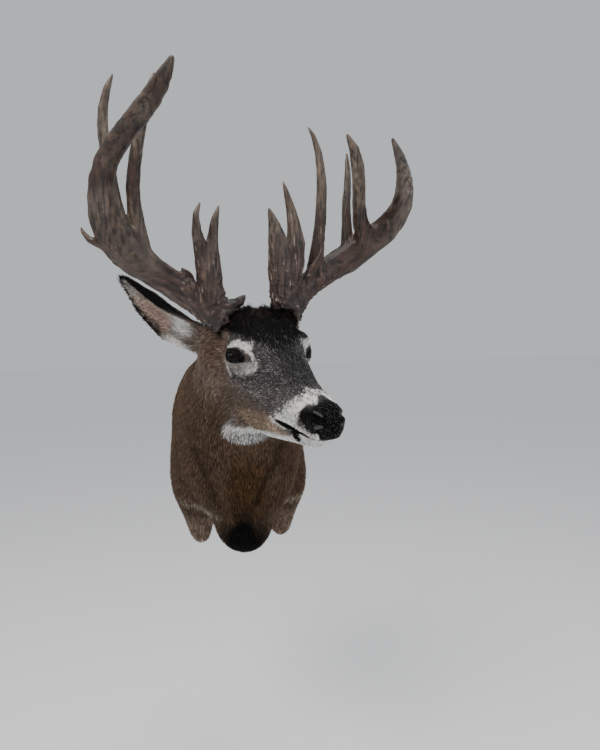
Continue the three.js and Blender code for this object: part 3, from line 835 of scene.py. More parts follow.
TINT = {name: linear(*rgb) for name, rgb in {
    "side": (0.345, 0.28, 0.228), "front": (0.335, 0.265, 0.215), "olive": (0.275, 0.20, 0.125),
    "nape": (0.30, 0.25, 0.215), "leg": (0.49, 0.42, 0.37), "brisket": (0.04, 0.03, 0.028),
    "temple": (0.38, 0.33, 0.30), "ear_base": (0.47, 0.41, 0.37), "rust": (0.40, 0.30, 0.23),
    "tan": (0.50, 0.435, 0.37), "jaw": (0.62, 0.54, 0.47), "grey": (0.27, 0.262, 0.265),
    "grey_low": (0.365, 0.345, 0.335), "bridge": (0.165, 0.16, 0.162),
    "black": (0.035, 0.031, 0.031), "white": (0.95, 0.94, 0.92), "crown": (0.17, 0.13, 0.115),
    "socket": (0.12, 0.105, 0.10), "cream": (0.84, 0.80, 0.74), "pale": (0.62, 0.60, 0.58),
    # throat: white hair greyed by painted shade under the jaw
    "throat": (0.56, 0.56, 0.555), "bare": (0.016, 0.015, 0.017),
    # the pale grey that follows the bare black is the painted highlight on the nostrils
    "nose_highlight": (0.30, 0.29, 0.30), "lid": (0.40, 0.355, 0.33),
    "ear_pink": (0.68, 0.57, 0.52), "ear_lobe": (0.42, 0.365, 0.325),
    "ear_out": (0.27, 0.23, 0.20), "ear_dark": (0.10, 0.085, 0.078),
    "ear_black": (0.05, 0.045, 0.045),
}.items()}

NECK_X, LEGS_X = -22, 1  # middle of the neck's front, and between the legs
TRUNK_SPECK = 0.34  # how strongly light and dark hairs are mixed
BAND_REAR = ([-94, -86, -62, -34, -15], [64, 76, 122, 158, 166])  # u, f
BAND_FRONT = ([-97, -90, -62, -40, -34], [112, 150, 166, 180, 173])
BROW_ARC = [(-28, 11), (-19, 15), (-4, 20.5), (5, 23), (12, 21.5), (17, 17), (21, 10), (27, 3),
            (33.5, -6), (37, -16)]
REAR_STREAK = [(-47, -9), (-42, -19), (-35, -28), (-28, -36)]
JAW_EDGE = ([-75, -50, 52, 108, 140], [-140, -138, -117.5, -111, -103])  # f, u


def lay(colour, tint, share):
    """A tint laid over a colour."""
    return mix(colour, TINT[tint], share)


def ear_coords(head, side_name):
    """Where points lie about an ear: share along it, place across it, place from its upper edge,
    distance off its middle sheet (minus on the inside), and whether they are on it."""
    root, along, side_way, mouth, length = ear_place(side_name)
    q = head - root
    share = q @ along / length
    half, cup, thick = ear_section(share)
    across = q @ side_way / half
    sheet = cup - q @ mouth - cup * (1 - across ** 2)
    on = (share > 0.1) & (share < 1.1) & (np.abs(across) < 1.25) & (np.abs(sheet) < thick * 0.9 + 9)
    return share, across, from_upper_edge(side_name, across), sheet, on


def paint_ear_inside(head, share, across, lower):
    dark = ramp(share, 0.42, 0.56) * ramp(lower, 0.68, 0.95)
    lobe = mix(TINT["ear_lobe"], TINT["ear_dark"], dark)
    bare = mix(TINT["ear_pink"], TINT["pale"], ramp(share, 0.7, 0.9))
    inside = mix(bare, lobe, np.maximum(ramp(lower, 0.64, 0.8), fall(share, 0.42, 0.5)))
    mm = head @ AXES
    veil = noise(mm, 5, seed=67) + 0.6 * noise(mm, 2.6, seed=68)
    inside = lay(inside, "pale", 0.55 * ramp(veil, 0.0, 0.6) * ramp(share, 0.5, 0.66))
    fold = fold_line(share)
    below_fold = bell((lower - fold - 0.07) / 0.07) * ramp(share, 0.36, 0.46)
    inside = lay(inside, "cream", 0.8 * below_fold * fall(share, 0.66, 0.78))
    rolled = mix(TINT["temple"], TINT["ear_black"], ramp(share, 0.3, 0.44))
    inside = mix(inside, rolled, ramp(fold - lower, -0.05, 0.06))
    tuft = bell((share - 0.37) / 0.075, (lower - 0.12) / 0.42)
    inside = lay(inside, "white", np.clip(1.5 * tuft, 0, 1))
    rim = np.maximum(ramp(np.abs(across), 0.88, 0.98), ramp(share, 0.9, 0.98))
    return lay(inside, "ear_black", rim)


def paint_ear_outside(share, lower):
    outside = mix(TINT["temple"], TINT["ear_out"], ramp(share, 0.15, 0.45))
    dark = np.maximum(ramp(share, 0.6, 1.0) * 0.8, ramp(lower, 0.35, 0.9) * 0.85)
    return lay(outside, "ear_black", dark)


def paint_ears(colour, at):
    for side_name in EARS:
        share, across, lower, sheet, on = ear_coords(at.head, side_name)
        share, lower = share + 0.006 * at.wobble, lower + 0.02 * at.wobble
        ear = np.where((sheet > 0)[:, None], paint_ear_outside(share, lower),
                       paint_ear_inside(at.head, share, across, lower))
        fringe = fall(share, 0.4, 0.5) * ramp(share, 0.16, 0.22) * ramp(lower, 0.72, 0.9)
        ear = lay(ear, "white", 0.9 * fringe)
        if side_name == "left":
            front_hair = fall(lower, -0.6, -0.3) * fall(share, 0.32, 0.4)
            ear = lay(ear, "white", 0.95 * front_hair)
        colour = mix(colour, ear, ramp(share, 0.14, 0.34) * on)
    return colour


def eye_ring(f, u):
    """Distance from the eye's middle as a share of the pale ring's outer edge."""
    return np.hypot(f / np.where(f > 0, 45, 50), (u + 1) / np.where(u > 0, 29, 32))


def ring_inside(f, u):
    """Distance from the eye's middle as a share of the dark lids' outer edge."""
    return np.hypot((f + 2) / np.where(f > -2, 26, 34), (u - 4) / np.where(u > 4, 15, 13))


def nose_black(f, out, u):
    """Share of black: the nose pad, the hair behind the nostrils and the patch above them."""
    wing = fall(np.hypot((f - 196) / 29, (u + 60) / 17), 0.93, 1.05)
    front = ramp(f, 197, 201) * ramp(u + 92 - 12 * ramp(out, 14, 22), -1.5, 1.5)
    patch = ramp(f - 171 - 1.3 * out, -2, 3) * ramp(u, -58, -50)
    return np.maximum(np.maximum(wing, front), patch)


def painted_nostril_highlights(head):
    """Share of the painted highlights on the upper rim of each nostril and on the bar beneath it.
    """
    light = np.zeros(len(head))
    for side in SIDES.values():
        for a, b, r in (*NOSTRIL_RIM_HIGHLIGHT, NOSTRIL_BAR_HIGHLIGHT):
            light = np.maximum(light, fall(capsule(head * (1, side, 1), a, b, r), -0.4, 1.0))
    return light


def pad_mask(f, out, u):
    """Share of bare pebbled skin on the nose."""
    low = ramp(u + 91 - 12 * ramp(out, 14, 22), -1.5, 1.5)
    return ramp(f, 188, 193) * low * nose_black(f, out, u)


def lid_edge(head):
    """Share of the black bare rim round each eye."""
    return fall(lid_distance(head, 9), *LID_RIM)


def bare_mask(head):
    """Where the skin is bare: nose pad and lids."""
    return np.maximum(pad_mask(*folded(head)), lid_edge(head))


def places(room, head, stray):
    """What the markings are painted by. f and u are frayed by noise and by single hairs."""
    mm = room / MM
    f, out, u = folded(head)
    wobble = 2.6 * noise(mm, 15, seed=11) + 2.0 * noise(mm, 5, seed=12)
    by_eye = fall(eye_ring(f, u), 1.0, 1.4)
    wobble = wobble * (1 - 0.75 * by_eye) + (9 - 5.8 * by_eye) * (stray - 0.5)
    x, y, z = mm.T
    from_ear = [norm(head - ear_place(name)[0]) for name in EARS]
    return SimpleNamespace(
        mm=mm, x=x, y=y, z=z, head=head, f=f + wobble, u=u + 0.6 * wobble, out=out,
        wobble=wobble, stray=stray,
        grain=noise(mm, 2.3, seed=62), ear_root=np.min(from_ear, axis=0),
        on_head=ramp(f + wobble, -72, -52) * ramp(u + 0.6 * wobble, -150, -138),
        on_side=ramp(out, 34, 42) * (f > FACE_REAR))


def paint_trunk(at):
    """Neck, chest, shoulders and leg stumps, with painted shade in the creases at the front of the
    chest.
    """
    x, y, z = at.x, at.y, at.z
    low = fall(z, -60, 90) * fall(y, -300, -150)
    colour = mix(TINT["side"], TINT["front"], low)
    olive = fall(np.abs(x - NECK_X), 20, 52) * fall(z, -20, 60)
    colour = lay(colour, "olive", low * olive)
    colour = lay(colour, "nape", ramp(z, 165, 225) * ramp(y, -400, -280))
    colour = lay(colour, "nape", 0.5 * fall(z, -140, -60))
    from_middle = np.hypot(np.hypot((x + 20) / 50, (y + 285) / 66), (z + 172) / 50)
    streak = fall(np.abs(x + 27), 6, 26) * fall(z, -130, -60) * fall(y, -290, -240)
    brisket = np.clip(fall(from_middle, 0.5, 1.45) + 0.75 * streak, 0, 1)
    colour = lay(colour, "brisket", brisket * fall(y, -225, -170))
    from_legs = np.abs(x - LEGS_X)
    stump = fall(z, -150, -120) * ramp(from_legs, 48, 62) * ramp(y, -232, -196)
    colour = lay(colour, "leg", 0.85 * stump)
    edge = bell((z + 112 - 0.18 * (np.abs(x) - 90)) / 9) * ramp(from_legs, 62, 84)
    edge = edge * fall(y, -200, -150) * ramp(at.wobble, -2, 2)
    colour = lay(colour, "cream", 0.42 * edge)
    # painted shade: the coat darkened along the creases at the front of the chest
    colour = colour * (1 - 0.40 * bell(crease_distance(at.mm) / 7))[:, None]
    return lay(colour, "ear_base", 0.85 * fall(at.ear_root, 45, 125))


def paint_throat(colour, at):
    x, y, z = at.x, at.y, at.z
    wide = 49 - 16 * ramp(z, 68, 90)
    throat = fall(np.hypot((x + 24) / wide, np.minimum(z - 62, 0) / 26), 0.84, 1.04)
    throat = throat * fall(y, -340, -318) * (z < 130) * (at.head[:, 0] < 20)
    # painted shade: the throat's white hair greyed as in the shade under the jaw, with whiter
    # single hairs among it
    hair = mix(TINT["throat"], TINT["white"], 0.8 * ramp(at.stray * 7.3 % 1, 0.55, 0.75))
    hair = lay(hair, "grey", 0.5 * ramp(noise(at.mm, 3.2, seed=61), 0.05, 0.5))
    return mix(colour, hair, 0.95 * throat)


def paint_face(colour, speck, at):
    """Tan cheeks, the grey above a slanting line and the dark bridge of the nose."""
    f, u, out = at.f, at.u, at.out
    face = mix(TINT["temple"], TINT["tan"], fall(u, -106, -78) * ramp(f, -70, -20))
    face = lay(face, "jaw", ramp(f, 40, 90) * fall(u, -96, -84))
    above = u + 38 + 0.458 * (f + 50)
    grey = mix(TINT["grey_low"], TINT["grey"], ramp(u, -60, -25))
    grey = lay(grey, "bridge", fall(out, 16, 34) * ramp(u, -40, -5))
    face = mix(face, grey, ramp(above, -14, 16) * ramp(f, -52, -30))
    face = lay(face, "ear_base", 0.5 * fall(at.ear_root, 45, 85))
    face = face * np.exp(0.55 * at.grain)[:, None]
    colour = mix(colour, face, at.on_head)
    speck = speck + 0.38 * ramp(above, -9, 15) * ramp(f, -40, -20) * at.on_head
    rust = bell((f + 78) / 24, (u - 2) / 34) * ramp(out, 50, 70)
    return lay(colour, "rust", 0.5 * rust), speck


def paint_crown(colour, at):
    f, u = at.f, at.u
    brow = fall(f, 4, 92) ** 0.8 * ramp(u - 10 - 0.40 * at.out, -10, 8) * ramp(f, -138, -104)
    tousled = ramp(noise(at.mm, 6.5, seed=63) + 0.7 * noise(at.mm, 16, seed=64), -0.3, 1.0)
    crown = mix(TINT["black"], TINT["crown"], 0.75 * tousled * fall(f, -50, 0))
    crown = lay(crown, "grey", 0.5 * ramp(at.grain, 0.0, 0.8) * ramp(f, -30, 60))
    return mix(colour, crown, brow)


def paint_eyes(colour, speck, at):
    """Pale hair under and behind each eye, the dark socket and the white arc over the lid."""
    f, u, side = at.f, at.u, at.on_side
    under = fall(eye_ring(f, u), 0.74, 1.12) * fall(u, -9, -2)
    glow = bell((f - 28) / 12, (u + 23) / 8)
    rear = fall(from_line(f, u, REAR_STREAK), 1.6, 4.2)
    tone = mix(TINT["pale"], TINT["white"], np.clip(0.6 * glow + 0.6 * rear, 0, 1))
    colour = mix(colour, tone, 0.9 * np.maximum(under, rear) * side)
    socket = fall(ring_inside(f, u), 0.8, 1.1)
    lid = mix(TINT["lid"], TINT["tan"], 0.8 * fall(f, -20, 4) * ramp(u, 4, 12))
    lid = lay(lid, "socket", fall(lid_distance(at.head, 12), 5.0, 9.5))
    colour = mix(colour, lid, 0.95 * socket * side)
    from_arc, along = polyline_distance(f, u, BROW_ARC)
    broad = ramp(along, 0.08, 0.26) * fall(along, 0.5, 0.66)
    arc = fall(from_arc, 1.2 + 2.0 * broad, 3.4 + 2.9 * broad)
    colour = lay(colour, "white", arc * side * (0.4 + 0.6 * ramp(along, 0.05, 0.35)))
    calm = np.maximum(0.4 * np.maximum(under, arc), 0.8 * socket)
    return colour, speck * (1 - calm * side)


def paint_muzzle(colour, speck, at):
    """The white band behind the nose and along the upper lip, with dark specks at its edges."""
    f, u = at.f, at.u
    rear, front = np.interp(u, *BAND_REAR), np.interp(u, *BAND_FRONT)
    front = np.where(u > -42, front + 20 * ramp(at.out, 5, 13), front)
    frayed = 10 * (at.stray * 5.7 % 1 - 0.5) + 15 * at.grain + 8 * noise(at.mm, 7, seed=65)
    band = ramp(f + frayed - rear, -6, 6) * ramp(front - f, -3, 5) * ramp(u, -100, -94)
    lip = fall(u, -84, -79) * ramp(f, 100, 120) * ramp(u, -97, -93)
    white = np.maximum(band, lip) * at.on_head
    colour = lay(colour, "white", white)
    near_nose = ramp(f - front, -40, -4) * fall(u, -70, -45)
    near_rear = fall(f - rear, 4, 26)
    speckles = noise(at.mm, 2.5, seed=66) + 0.22 * near_nose + 0.30 * near_rear
    colour = lay(colour, "bridge", 0.75 * ramp(speckles, 0.34, 0.56) * white)
    return colour, np.where(white > 0.4, 0.08, speck)


def paint_jaw(colour, at):
    """White under the jaw and on the chin, and the black spot by the corner of the lower lip."""
    f, u = at.f, at.u
    jaw = ramp(np.interp(f, *JAW_EDGE) - u, -3, 4) * ramp(u, -153, -146)
    jaw = jaw * ramp(f, -78, -66) * (at.head[:, 0] > FACE_REAR)
    jaw = jaw * (1 - fall(f, -40, -20) * ramp(np.abs(at.x - NECK_X), 46, 58))
    chin = ramp(f, 146, 154) * fall(u, -95, -92)
    colour = lay(colour, "white", np.clip(jaw + chin, 0, 1) * 0.93)
    spot = fall(np.hypot((f - 143) / 14.5, (u + 99) / 12.5), 0.8, 1.05)
    return lay(colour, "black", spot * ramp(at.out, 8, 14))


def paint_lines(colour, at):
    """The black seam between the lips, the dark tear duct, and painted shade in the fold of the
    cheek.
    """
    f, u = at.head[:, 0], at.head[:, 2]
    thick = 1.8 * bell((at.f - 112) / 26)
    seam = fall(from_line(f, u, MOUTH), 1.5 + thick, 3.2 + thick) * ramp(at.f, 66, 80)
    colour = lay(colour, "black", seam)
    # the cheek fold's black is painted shade in the crease; the tear duct is dark in itself
    for name, edge, strength in (("cheek", 2.4, 0.45), ("duct", 2.2, 0.7)):
        fold = fall(from_line(f, u, FOLDS[name][0]), 0.8, edge)
        colour = lay(colour, "black", strength * fold * at.on_side)
    return colour


def paint_nose(colour, at):
    f, u, out = at.f, at.u, at.out
    patch = mix(TINT["black"], TINT["grey"], 0.85 * ramp(u, -56, -42))
    colour = mix(colour, patch, nose_black(f, out, u) * at.on_head)
    colour = lay(colour, "bare", pad_mask(f, out, u) * at.on_head)
    # painted highlights on the nostril rims and on the bar beneath each nostril
    return lay(colour, "nose_highlight", painted_nostril_highlights(at.head))


def coat_paint(room, head, stray):
    """Colour of the coat, and how strongly light and dark hairs are mixed in it.

    `stray` runs from 0 to 1 and carries single hairs over the edges of the markings."""
    at = places(room, head, stray)
    speck = np.full(len(head), TRUNK_SPECK)
    colour = paint_throat(paint_trunk(at), at)
    colour, speck = paint_face(colour, speck, at)
    colour = paint_crown(colour, at)
    colour, speck = paint_eyes(colour, speck, at)
    colour, speck = paint_muzzle(colour, speck, at)
    for paint in (paint_jaw, paint_lines, paint_nose):
        colour = paint(colour, at)
    colour = lay(colour, "bare", lid_edge(head))
    return paint_ears(colour, at), speck


# ------------------------------------------------------------------ lie of the coat

def trunk_lie(mm, normal):
    """Down and back over the trunk, with swirls above the legs."""
    x, y, z = mm.T
    top = ramp(normal[:, 2], 0.35, 0.8)
    front = fall(normal[:, 1], -0.7, -0.2) * (1 - top)
    swirl = fall(np.abs(z + 112), 6, 26) * ramp(np.abs(x - LEGS_X), 60, 84) * fall(y, -190, -140)
    outward = -0.35 * front * np.clip((x - NECK_X) / 90, -1, 1) * fall(z, -60, 40)
    back = 0.35 + 0.8 * top - 0.25 * front + 0.25 * fall(z, -160, -110)
    return np.stack([outward - 0.8 * swirl * np.sign(x), back, 0.75 * top - 1.0], 1)


def head_lie(head):
    """Back over the head, down the cheeks, up on the brow, and outward round the eyes."""
    forward, _, up = AXES
    f, out, u = folded(head)
    lift = 0.25 * ramp(u, 5, 40) - 0.45 * ramp(out, 26, 52) * fall(u, -40, 10)
    back = np.outer(lift, up) - forward
    away = np.outer(f / 40, forward) + np.outer(u / 26, up)
    by_eye = fall(eye_ring(f, u), 0.6, 1.15) * ramp(out, 34, 42) * (f > FACE_REAR)
    return mix(back, away, 0.62 * by_eye)


def lie(room, head, normal):
    """Way the hair lies along the skin at room points, as unit vectors."""
    mm = room / MM
    f, u = head[:, 0], head[:, 2]
    on_head = ramp(f, -110, -55) * ramp(u, -170, -130)
    way = mix(trunk_lie(mm, normal), head_lie(head), on_head)
    crown = ramp(u, 34, 60) * ramp(f, -130, -100) * fall(f, 20, 50)
    tousle = np.stack([noise(mm, 11, seed=40 + k) for k in range(3)], 1)
    way = way + tousle * (0.22 + 1.5 * crown)[:, None]
    for side_name in EARS:
        share, across, _, _, on = ear_coords(head, side_name)
        _, along, side_way, _, _ = ear_place(side_name)
        ear = (along + np.outer(across * 0.5, side_way)) @ AXES
        way = mix(way, ear, on * ramp(share, 0.12, 0.25))
    return unit(way - normal * (way * normal).sum(1)[:, None])


# ------------------------------------------------------------------ tufts

# a lock's corners: three at the root, three half way and the tip
TUFT_FACES = np.array([
    (0, 4, 1), (0, 3, 4), (1, 5, 2), (1, 4, 5), (2, 3, 0), (2, 5, 3),
    (3, 6, 4), (4, 6, 5), (5, 6, 3), (0, 1, 2)])
TUFT_UV = np.array([(0, 0), (0.5, 0), (1, 0), (0.1, 0.5), (0.5, 0.5), (0.9, 0.5), (0.5, 1)])
TUFT_CORNERS = len(TUFT_UV)
PATCH = 0.003  # side of a tuft's patch of the bake map
PIECE_LIMIT = 19000  # tufts in one piece, under 200,000 triangles
TUFTS = {  # tufts to the square mm, length and width
    "trunk": (0.235, 11.5, 1.08), "face": (0.28, 6.7, 0.85), "muzzle": (0.37, 3.7, 0.63),
    "ear": (0.17, 6.0, 0.9),
}
CROWN_TUFT, THROAT_TUFT = (13.0, 1.3), (9.0, 1.0)  # length and width
RISE = 0.62  # of the tips, as a share of the coat's depth
ROOT_DEPTH = 0.9  # under the skin
ROOT_WIDTH, LOCK_THICKNESS = 0.8, 0.4  # as shares of the width
MIDDLE_RISE = 0.72  # as a share of the tip's rise
SOFTNESS = 0.72  # share of the skin's normal in a tuft's shading
SPREAD = 0.16  # of the way the tufts lie
DARKEST, LIGHTEST = 0.002, 0.93
SALT, FACE_SALT = 0.04, 0.36  # how pale the palest tips are, and how much more on the face
KINDS = ("trunk", "head", "ears")
WALL_GAP = 0.4 * MM  # the hair turns aside this far from the wall
HEAD_UNWRAP = np.array((-130, -100, -150)), np.array((360, 200, 260))  # low corner, size
TRUNK_UNWRAP = np.array((-170, -480, -220)), np.array((340, 490, 520))
LOBES = ((-22, -250, 44), (93, -140, 42), (-91, -140, 42))  # brisket and legs: x, y, radius
LOBE_FOOT, LOBE_TOP, LOBE_TALL = -212, -135, 80
CELL_MARGIN = 0.02


def grow_roots(piece):
    """Roots of tufts spread over a mesh, and the normals there."""
    p, n = points_of(piece), normals_of(piece)
    tri = triangles_of(piece)
    a, b, c = p[tri[:, 0]], p[tri[:, 1]], p[tri[:, 2]]
    area = norm(np.cross(b - a, c - a)) / 2 / MM ** 2
    middle = (a + b + c) / 3
    density = coat_plan(middle, to_head(middle))[0]
    total = np.cumsum(area * density)
    ticks = np.arange(0.5, total[-1])
    ticks = ticks + RNG.uniform(-0.45, 0.45, len(ticks))
    t = tri[np.clip(np.searchsorted(total, ticks), 0, len(tri) - 1)]
    r1, r2 = np.sqrt(RNG.random(len(t))), RNG.random(len(t))
    w = np.stack([1 - r1, r1 * (1 - r2), r1 * r2], 1)[:, :, None]
    return (p[t] * w).sum(1), unit((n[t] * w).sum(1))


def tuft_points(room, normal, way, length, width, rise):
    """The seven corners of each tuft: a thin three-sided lock that bends over towards the skin."""
    across = np.cross(normal, way)
    tall = rise[:, None] * normal
    base = room - normal * (ROOT_DEPTH * MM)
    middle = room + way * (0.5 * length)[:, None] + tall * MIDDLE_RISE
    corners = np.empty((len(room), TUFT_CORNERS, 3))
    for k, (side, over) in enumerate(((-0.5, 0.0), (0.0, LOCK_THICKNESS), (0.5, 0.0))):
        offset = across * (side * width)[:, None] + normal * (over * width)[:, None]
        corners[:, k] = base + offset * ROOT_WIDTH
        corners[:, 3 + k] = middle + offset
    corners[:, 6] = room + way * length[:, None] + tall
    return corners


def ear_cells(head):
    """Cell 0 to 3 for the in- and outside of each ear, and the place in it."""
    cell = np.zeros(len(head), int)
    u, v = np.zeros((2, len(head)))
    for i, side_name in enumerate(EARS):
        share, across, _, sheet, _ = ear_coords(head, side_name)
        mine = (head[:, 1] > 0) == (side_name == "left")
        cell[mine] = 2 * i + (sheet[mine] > 0)
        u[mine], v[mine] = (across[mine] + 1.2) / 2.4, share[mine] / 1.15
    return cell, u, v


def side_cells(points, normal, low, size):
    """Cell 0 to 5 for the side of a box that the surface faces, and the place on that side."""
    q = (points - low) / size
    axis = np.abs(normal * np.array((1.0, 1.15, 1.0))).argmax(1)
    row = np.arange(len(q))
    cell = 2 * axis + (normal[row, axis] > 0)
    return cell, q[row, (axis == 0).astype(int)], q[row, np.where(axis == 2, 1, 2)]


def unwrap(kind, room, head, normal):
    """Places on an unwrap of the body's shape: a grid of cells, one for each side or lobe."""
    mm = room / MM
    columns, rows = {"trunk": (3, 3), "head": (3, 2), "ears": (2, 2)}[kind]
    if kind == "ears":
        cell, u, v = ear_cells(head)
    elif kind == "head":
        cell, u, v = side_cells(head, normal @ AXES.T, *HEAD_UNWRAP)
    else:
        cell, u, v = side_cells(mm, normal, *TRUNK_UNWRAP)
        for k, (cx, cy, radius) in enumerate(LOBES):
            dx, dy = mm[:, 0] - cx, mm[:, 1] - cy
            lobe = (mm[:, 2] < LOBE_TOP) & (np.hypot(dx, dy * 0.6) < radius)
            cell = np.where(lobe, 6 + k, cell)
            u = np.where(lobe, np.arctan2(dy, dx) / (2 * math.pi) + 0.5, u)
            v = np.where(lobe, (mm[:, 2] - LOBE_FOOT) / LOBE_TALL, v)
    u, v = np.clip((u, v), CELL_MARGIN, 1 - CELL_MARGIN)
    return np.stack([(cell % columns + u) / columns, (cell // columns + v) / rows], 1)


def tuft_piece(name, material, corners, uv, root, tip, skin_normal):
    """One joined mesh of tufts with its colours, bake map and softened normals."""
    count = len(corners)
    faces = TUFT_FACES[None] + TUFT_CORNERS * np.arange(count)[:, None, None]
    faces = faces.reshape(-1, 3)
    piece = mesh_object(name, corners.reshape(-1, 3), faces)
    colour = np.empty((count, TUFT_CORNERS, 3))
    colour[:, :3] = root[:, None]
    colour[:, 3:6] = (0.45 * root + 0.55 * tip)[:, None]
    colour[:, 6] = tip
    set_colours(piece, "Coat", colour.reshape(-1, 3))
    layer = piece.data.uv_layers.new(name="OFBake")
    at = uv[:, None] + (TUFT_UV[None] - 0.5) * PATCH
    layer.data.foreach_set("uv", at.reshape(-1, 2)[faces.ravel()].astype(np.float32).ravel())
    skin_normal = np.repeat(skin_normal, TUFT_CORNERS, axis=0)
    soft = unit(mix(normals_of(piece), skin_normal, SOFTNESS))
    piece.data.normals_split_custom_set_from_vertices(soft.astype(np.float32))
    piece.data.materials.append(material)
    return piece


def covered(room):
    """Where the board or the wall covers the skin, and no hair grows."""
    low, high = (np.array(list(v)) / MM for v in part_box("backboard"))
    mm = room / MM
    by_board = ((mm > low - BOARD_RIM) & (mm < high + BOARD_RIM)).all(1)
    return np.maximum(ramp(mm[:, 1], -2.2, -1.3), by_board)


def coat_plan(room, head):
    """Tufts to the square mm, and their length, width and rise, at each place."""
    f, out, u = folded(head)
    face = ramp(f, -90, -45) * ramp(u, -150, -132)
    muzzle = ramp(f, 30, 110)
    density, length, width = (
        trunk + (of_face - trunk) * face + (of_muzzle - of_face) * muzzle
        for trunk, of_face, of_muzzle in zip(TUFTS["trunk"], TUFTS["face"], TUFTS["muzzle"]))
    rise = coat_depth(room, head) * RISE
    crown = ramp(u, 34, 58) * ramp(f, -135, -105) * fall(f, 15, 45)
    burr = fall(np.min([from_burr(head, side_name) for side_name in BURRS], axis=0), 38, 62)
    rise = rise + (2.4 + 6.0 * burr - rise) * crown
    throat = fall(u, -140, -118) * ramp(u, -200, -185) * ramp(f, -90, -60) * fall(f, 0, 40)
    density = density + 0.10 * throat
    for share, (long, wide) in ((crown, CROWN_TUFT), (throat, THROAT_TUFT)):
        length, width = length + (long - length) * share, width + (wide - width) * share
    length = length * (1 - 0.35 * fall(room[:, 2] / MM, -165, -130))
    by_lid = lid_distance(head, 10)
    density = density * ramp(by_lid, 4.0, 6.0)
    short = 3.4 + 0.25 * np.maximum(by_lid, 0)
    length = np.where(by_lid < 20, np.minimum(length, short), length)
    bare = pad_mask(f, out, u)
    density = density * (1 - bare) * (1 - covered(room))
    rise = rise * (1 - 0.4 * bare)
    for side_name in EARS:
        share, across, lower, sheet, on = ear_coords(head, side_name)
        inner = sheet < 0
        ear_density, outer_length, ear_width = TUFTS["ear"]
        ear_length = np.where(inner, 8.0 - 3.0 * ramp(np.abs(across), 0.55, 0.9), outer_length)
        ear_length = np.where(inner & (lower < fold_line(share)), 5.0, ear_length)
        grow = on * ramp(share, 0.12, 0.26)
        density = density + (ear_density - density) * grow
        length = length + (ear_length - length) * grow
        width = width + (ear_width - width) * grow
        rise = rise + (np.where(inner, 1.6, 1.0) - rise) * grow
    return density, length, width, rise


def family(head):
    """Which of the kinds of tufts each place has, as its number."""
    kind = ((head[:, 0] > -84) & (head[:, 2] > -150)).astype(int)
    for side_name in EARS:
        share, _, _, _, on = ear_coords(head, side_name)
        kind = np.where(on & (share > 0.16), KINDS.index("ears"), kind)
    return kind


def clumps(mm):
    """Broad light and dark patches that the skin and the coat share."""
    return noise(mm, 9, seed=70)


def tuft_colours(room, head, corners, kinds):
    """Root and tip colours of the tufts, with lighter and darker ones mixed in."""
    count = len(room)
    middle = corners[:, 3:6].mean(1)
    colour, speck = coat_paint(middle, to_head(middle), RNG.random(count))
    shade = np.exp(RNG.normal(size=count) * speck)
    mm = room / MM
    clump = (1 + 0.16 * clumps(mm) + 0.10 * noise(mm, 40, seed=71)
             + 0.30 * noise(mm, 3.4, seed=72))
    body = colour * (shade * clump)[:, None]
    pale = RNG.random(count) < 0.25 * speck
    of_face = ramp(head[:, 0], -50, 0) * (kinds == KINDS.index("head")) * (body.mean(1) > 0.012)
    salted = mix(body * 1.35, TINT["pale"], SALT + FACE_SALT * of_face)
    tip = np.where(pale[:, None], salted, body * 1.1)
    black = RNG.random(count) < 0.45 * speck
    tip = np.where(black[:, None], body * 0.35, tip)
    return np.clip(body * 0.72, DARKEST, LIGHTEST), np.clip(tip, DARKEST, LIGHTEST)


def grow_coat(skin, material):
    room, normal = grow_roots(skin)
    head = to_head(room)
    _, length, width, rise = coat_plan(room, head)
    way = lie(room, head, normal)
    count = len(room)
    way = unit(way + np.cross(normal, way) * (RNG.normal(size=count) * SPREAD)[:, None])
    length = length * RNG.uniform(0.7, 1.2, count)
    width = width * RNG.uniform(0.7, 1.3, count)
    rise = rise * RNG.uniform(0.5, 1.25, count)
    f, u = head[:, 0], head[:, 2]
    crown = ramp(u, 40, 62) * ramp(f, -135, -105) * fall(f, 10, 45)
    rise = rise * (1 + crown * RNG.uniform(-0.4, 0.7, count))
    corners = tuft_points(room, normal, way, length * MM, width * MM, rise * MM)
    corners[..., 1] = np.minimum(corners[..., 1], -WALL_GAP)
    kinds = family(head)
    root, tip = tuft_colours(room, head, corners, kinds)
    pieces = []
    for number, kind in enumerate(KINDS):
        chosen = np.flatnonzero(kinds == number)
        parts = max(1, math.ceil(len(chosen) / PIECE_LIMIT))
        for part in range(parts):
            i = chosen[part::parts]
            uv = unwrap(kind, room[i], head[i], normal[i])
            pieces.append(tuft_piece(f"coat_{kind}_{part + 1}", material, corners[i], uv,
                                     root[i], tip[i], normal[i]))
    return pieces


# ------------------------------------------------------------------ materials

NOISE_RANGE = (0.3, 0.7)  # nearly all of a noise texture's values


def wire(tree, node, **inputs):
    """Gives a node's inputs, by name, their values or the sockets that feed them."""
    for name, source in inputs.items():
        socket = node.inputs[name.replace("_", " ")]
        if isinstance(source, bpy.types.NodeSocket):
            tree.links.new(source, socket)
        else:
            socket.default_value = source
    return node


def add_node(tree, kind, **inputs):
    return wire(tree, tree.nodes.new("ShaderNode" + kind), **inputs)


def new_material(name, **values):
    material = bpy.data.materials.new(name)
    material.use_nodes = True
    tree = material.node_tree
    return material, tree, wire(tree, tree.nodes["Principled BSDF"], **values)


def attribute_node(tree, name):
    node = add_node(tree, "Attribute")
    node.attribute_name = name
    return node


def position(tree):
    return add_node(tree, "TexCoord").outputs["Object"]


def noise_texture(tree, vector, scale, detail, rough=0.55):
    node = add_node(tree, "TexNoise", Vector=vector, Scale=scale, Detail=detail, Roughness=rough)
    return node.outputs["Fac"]


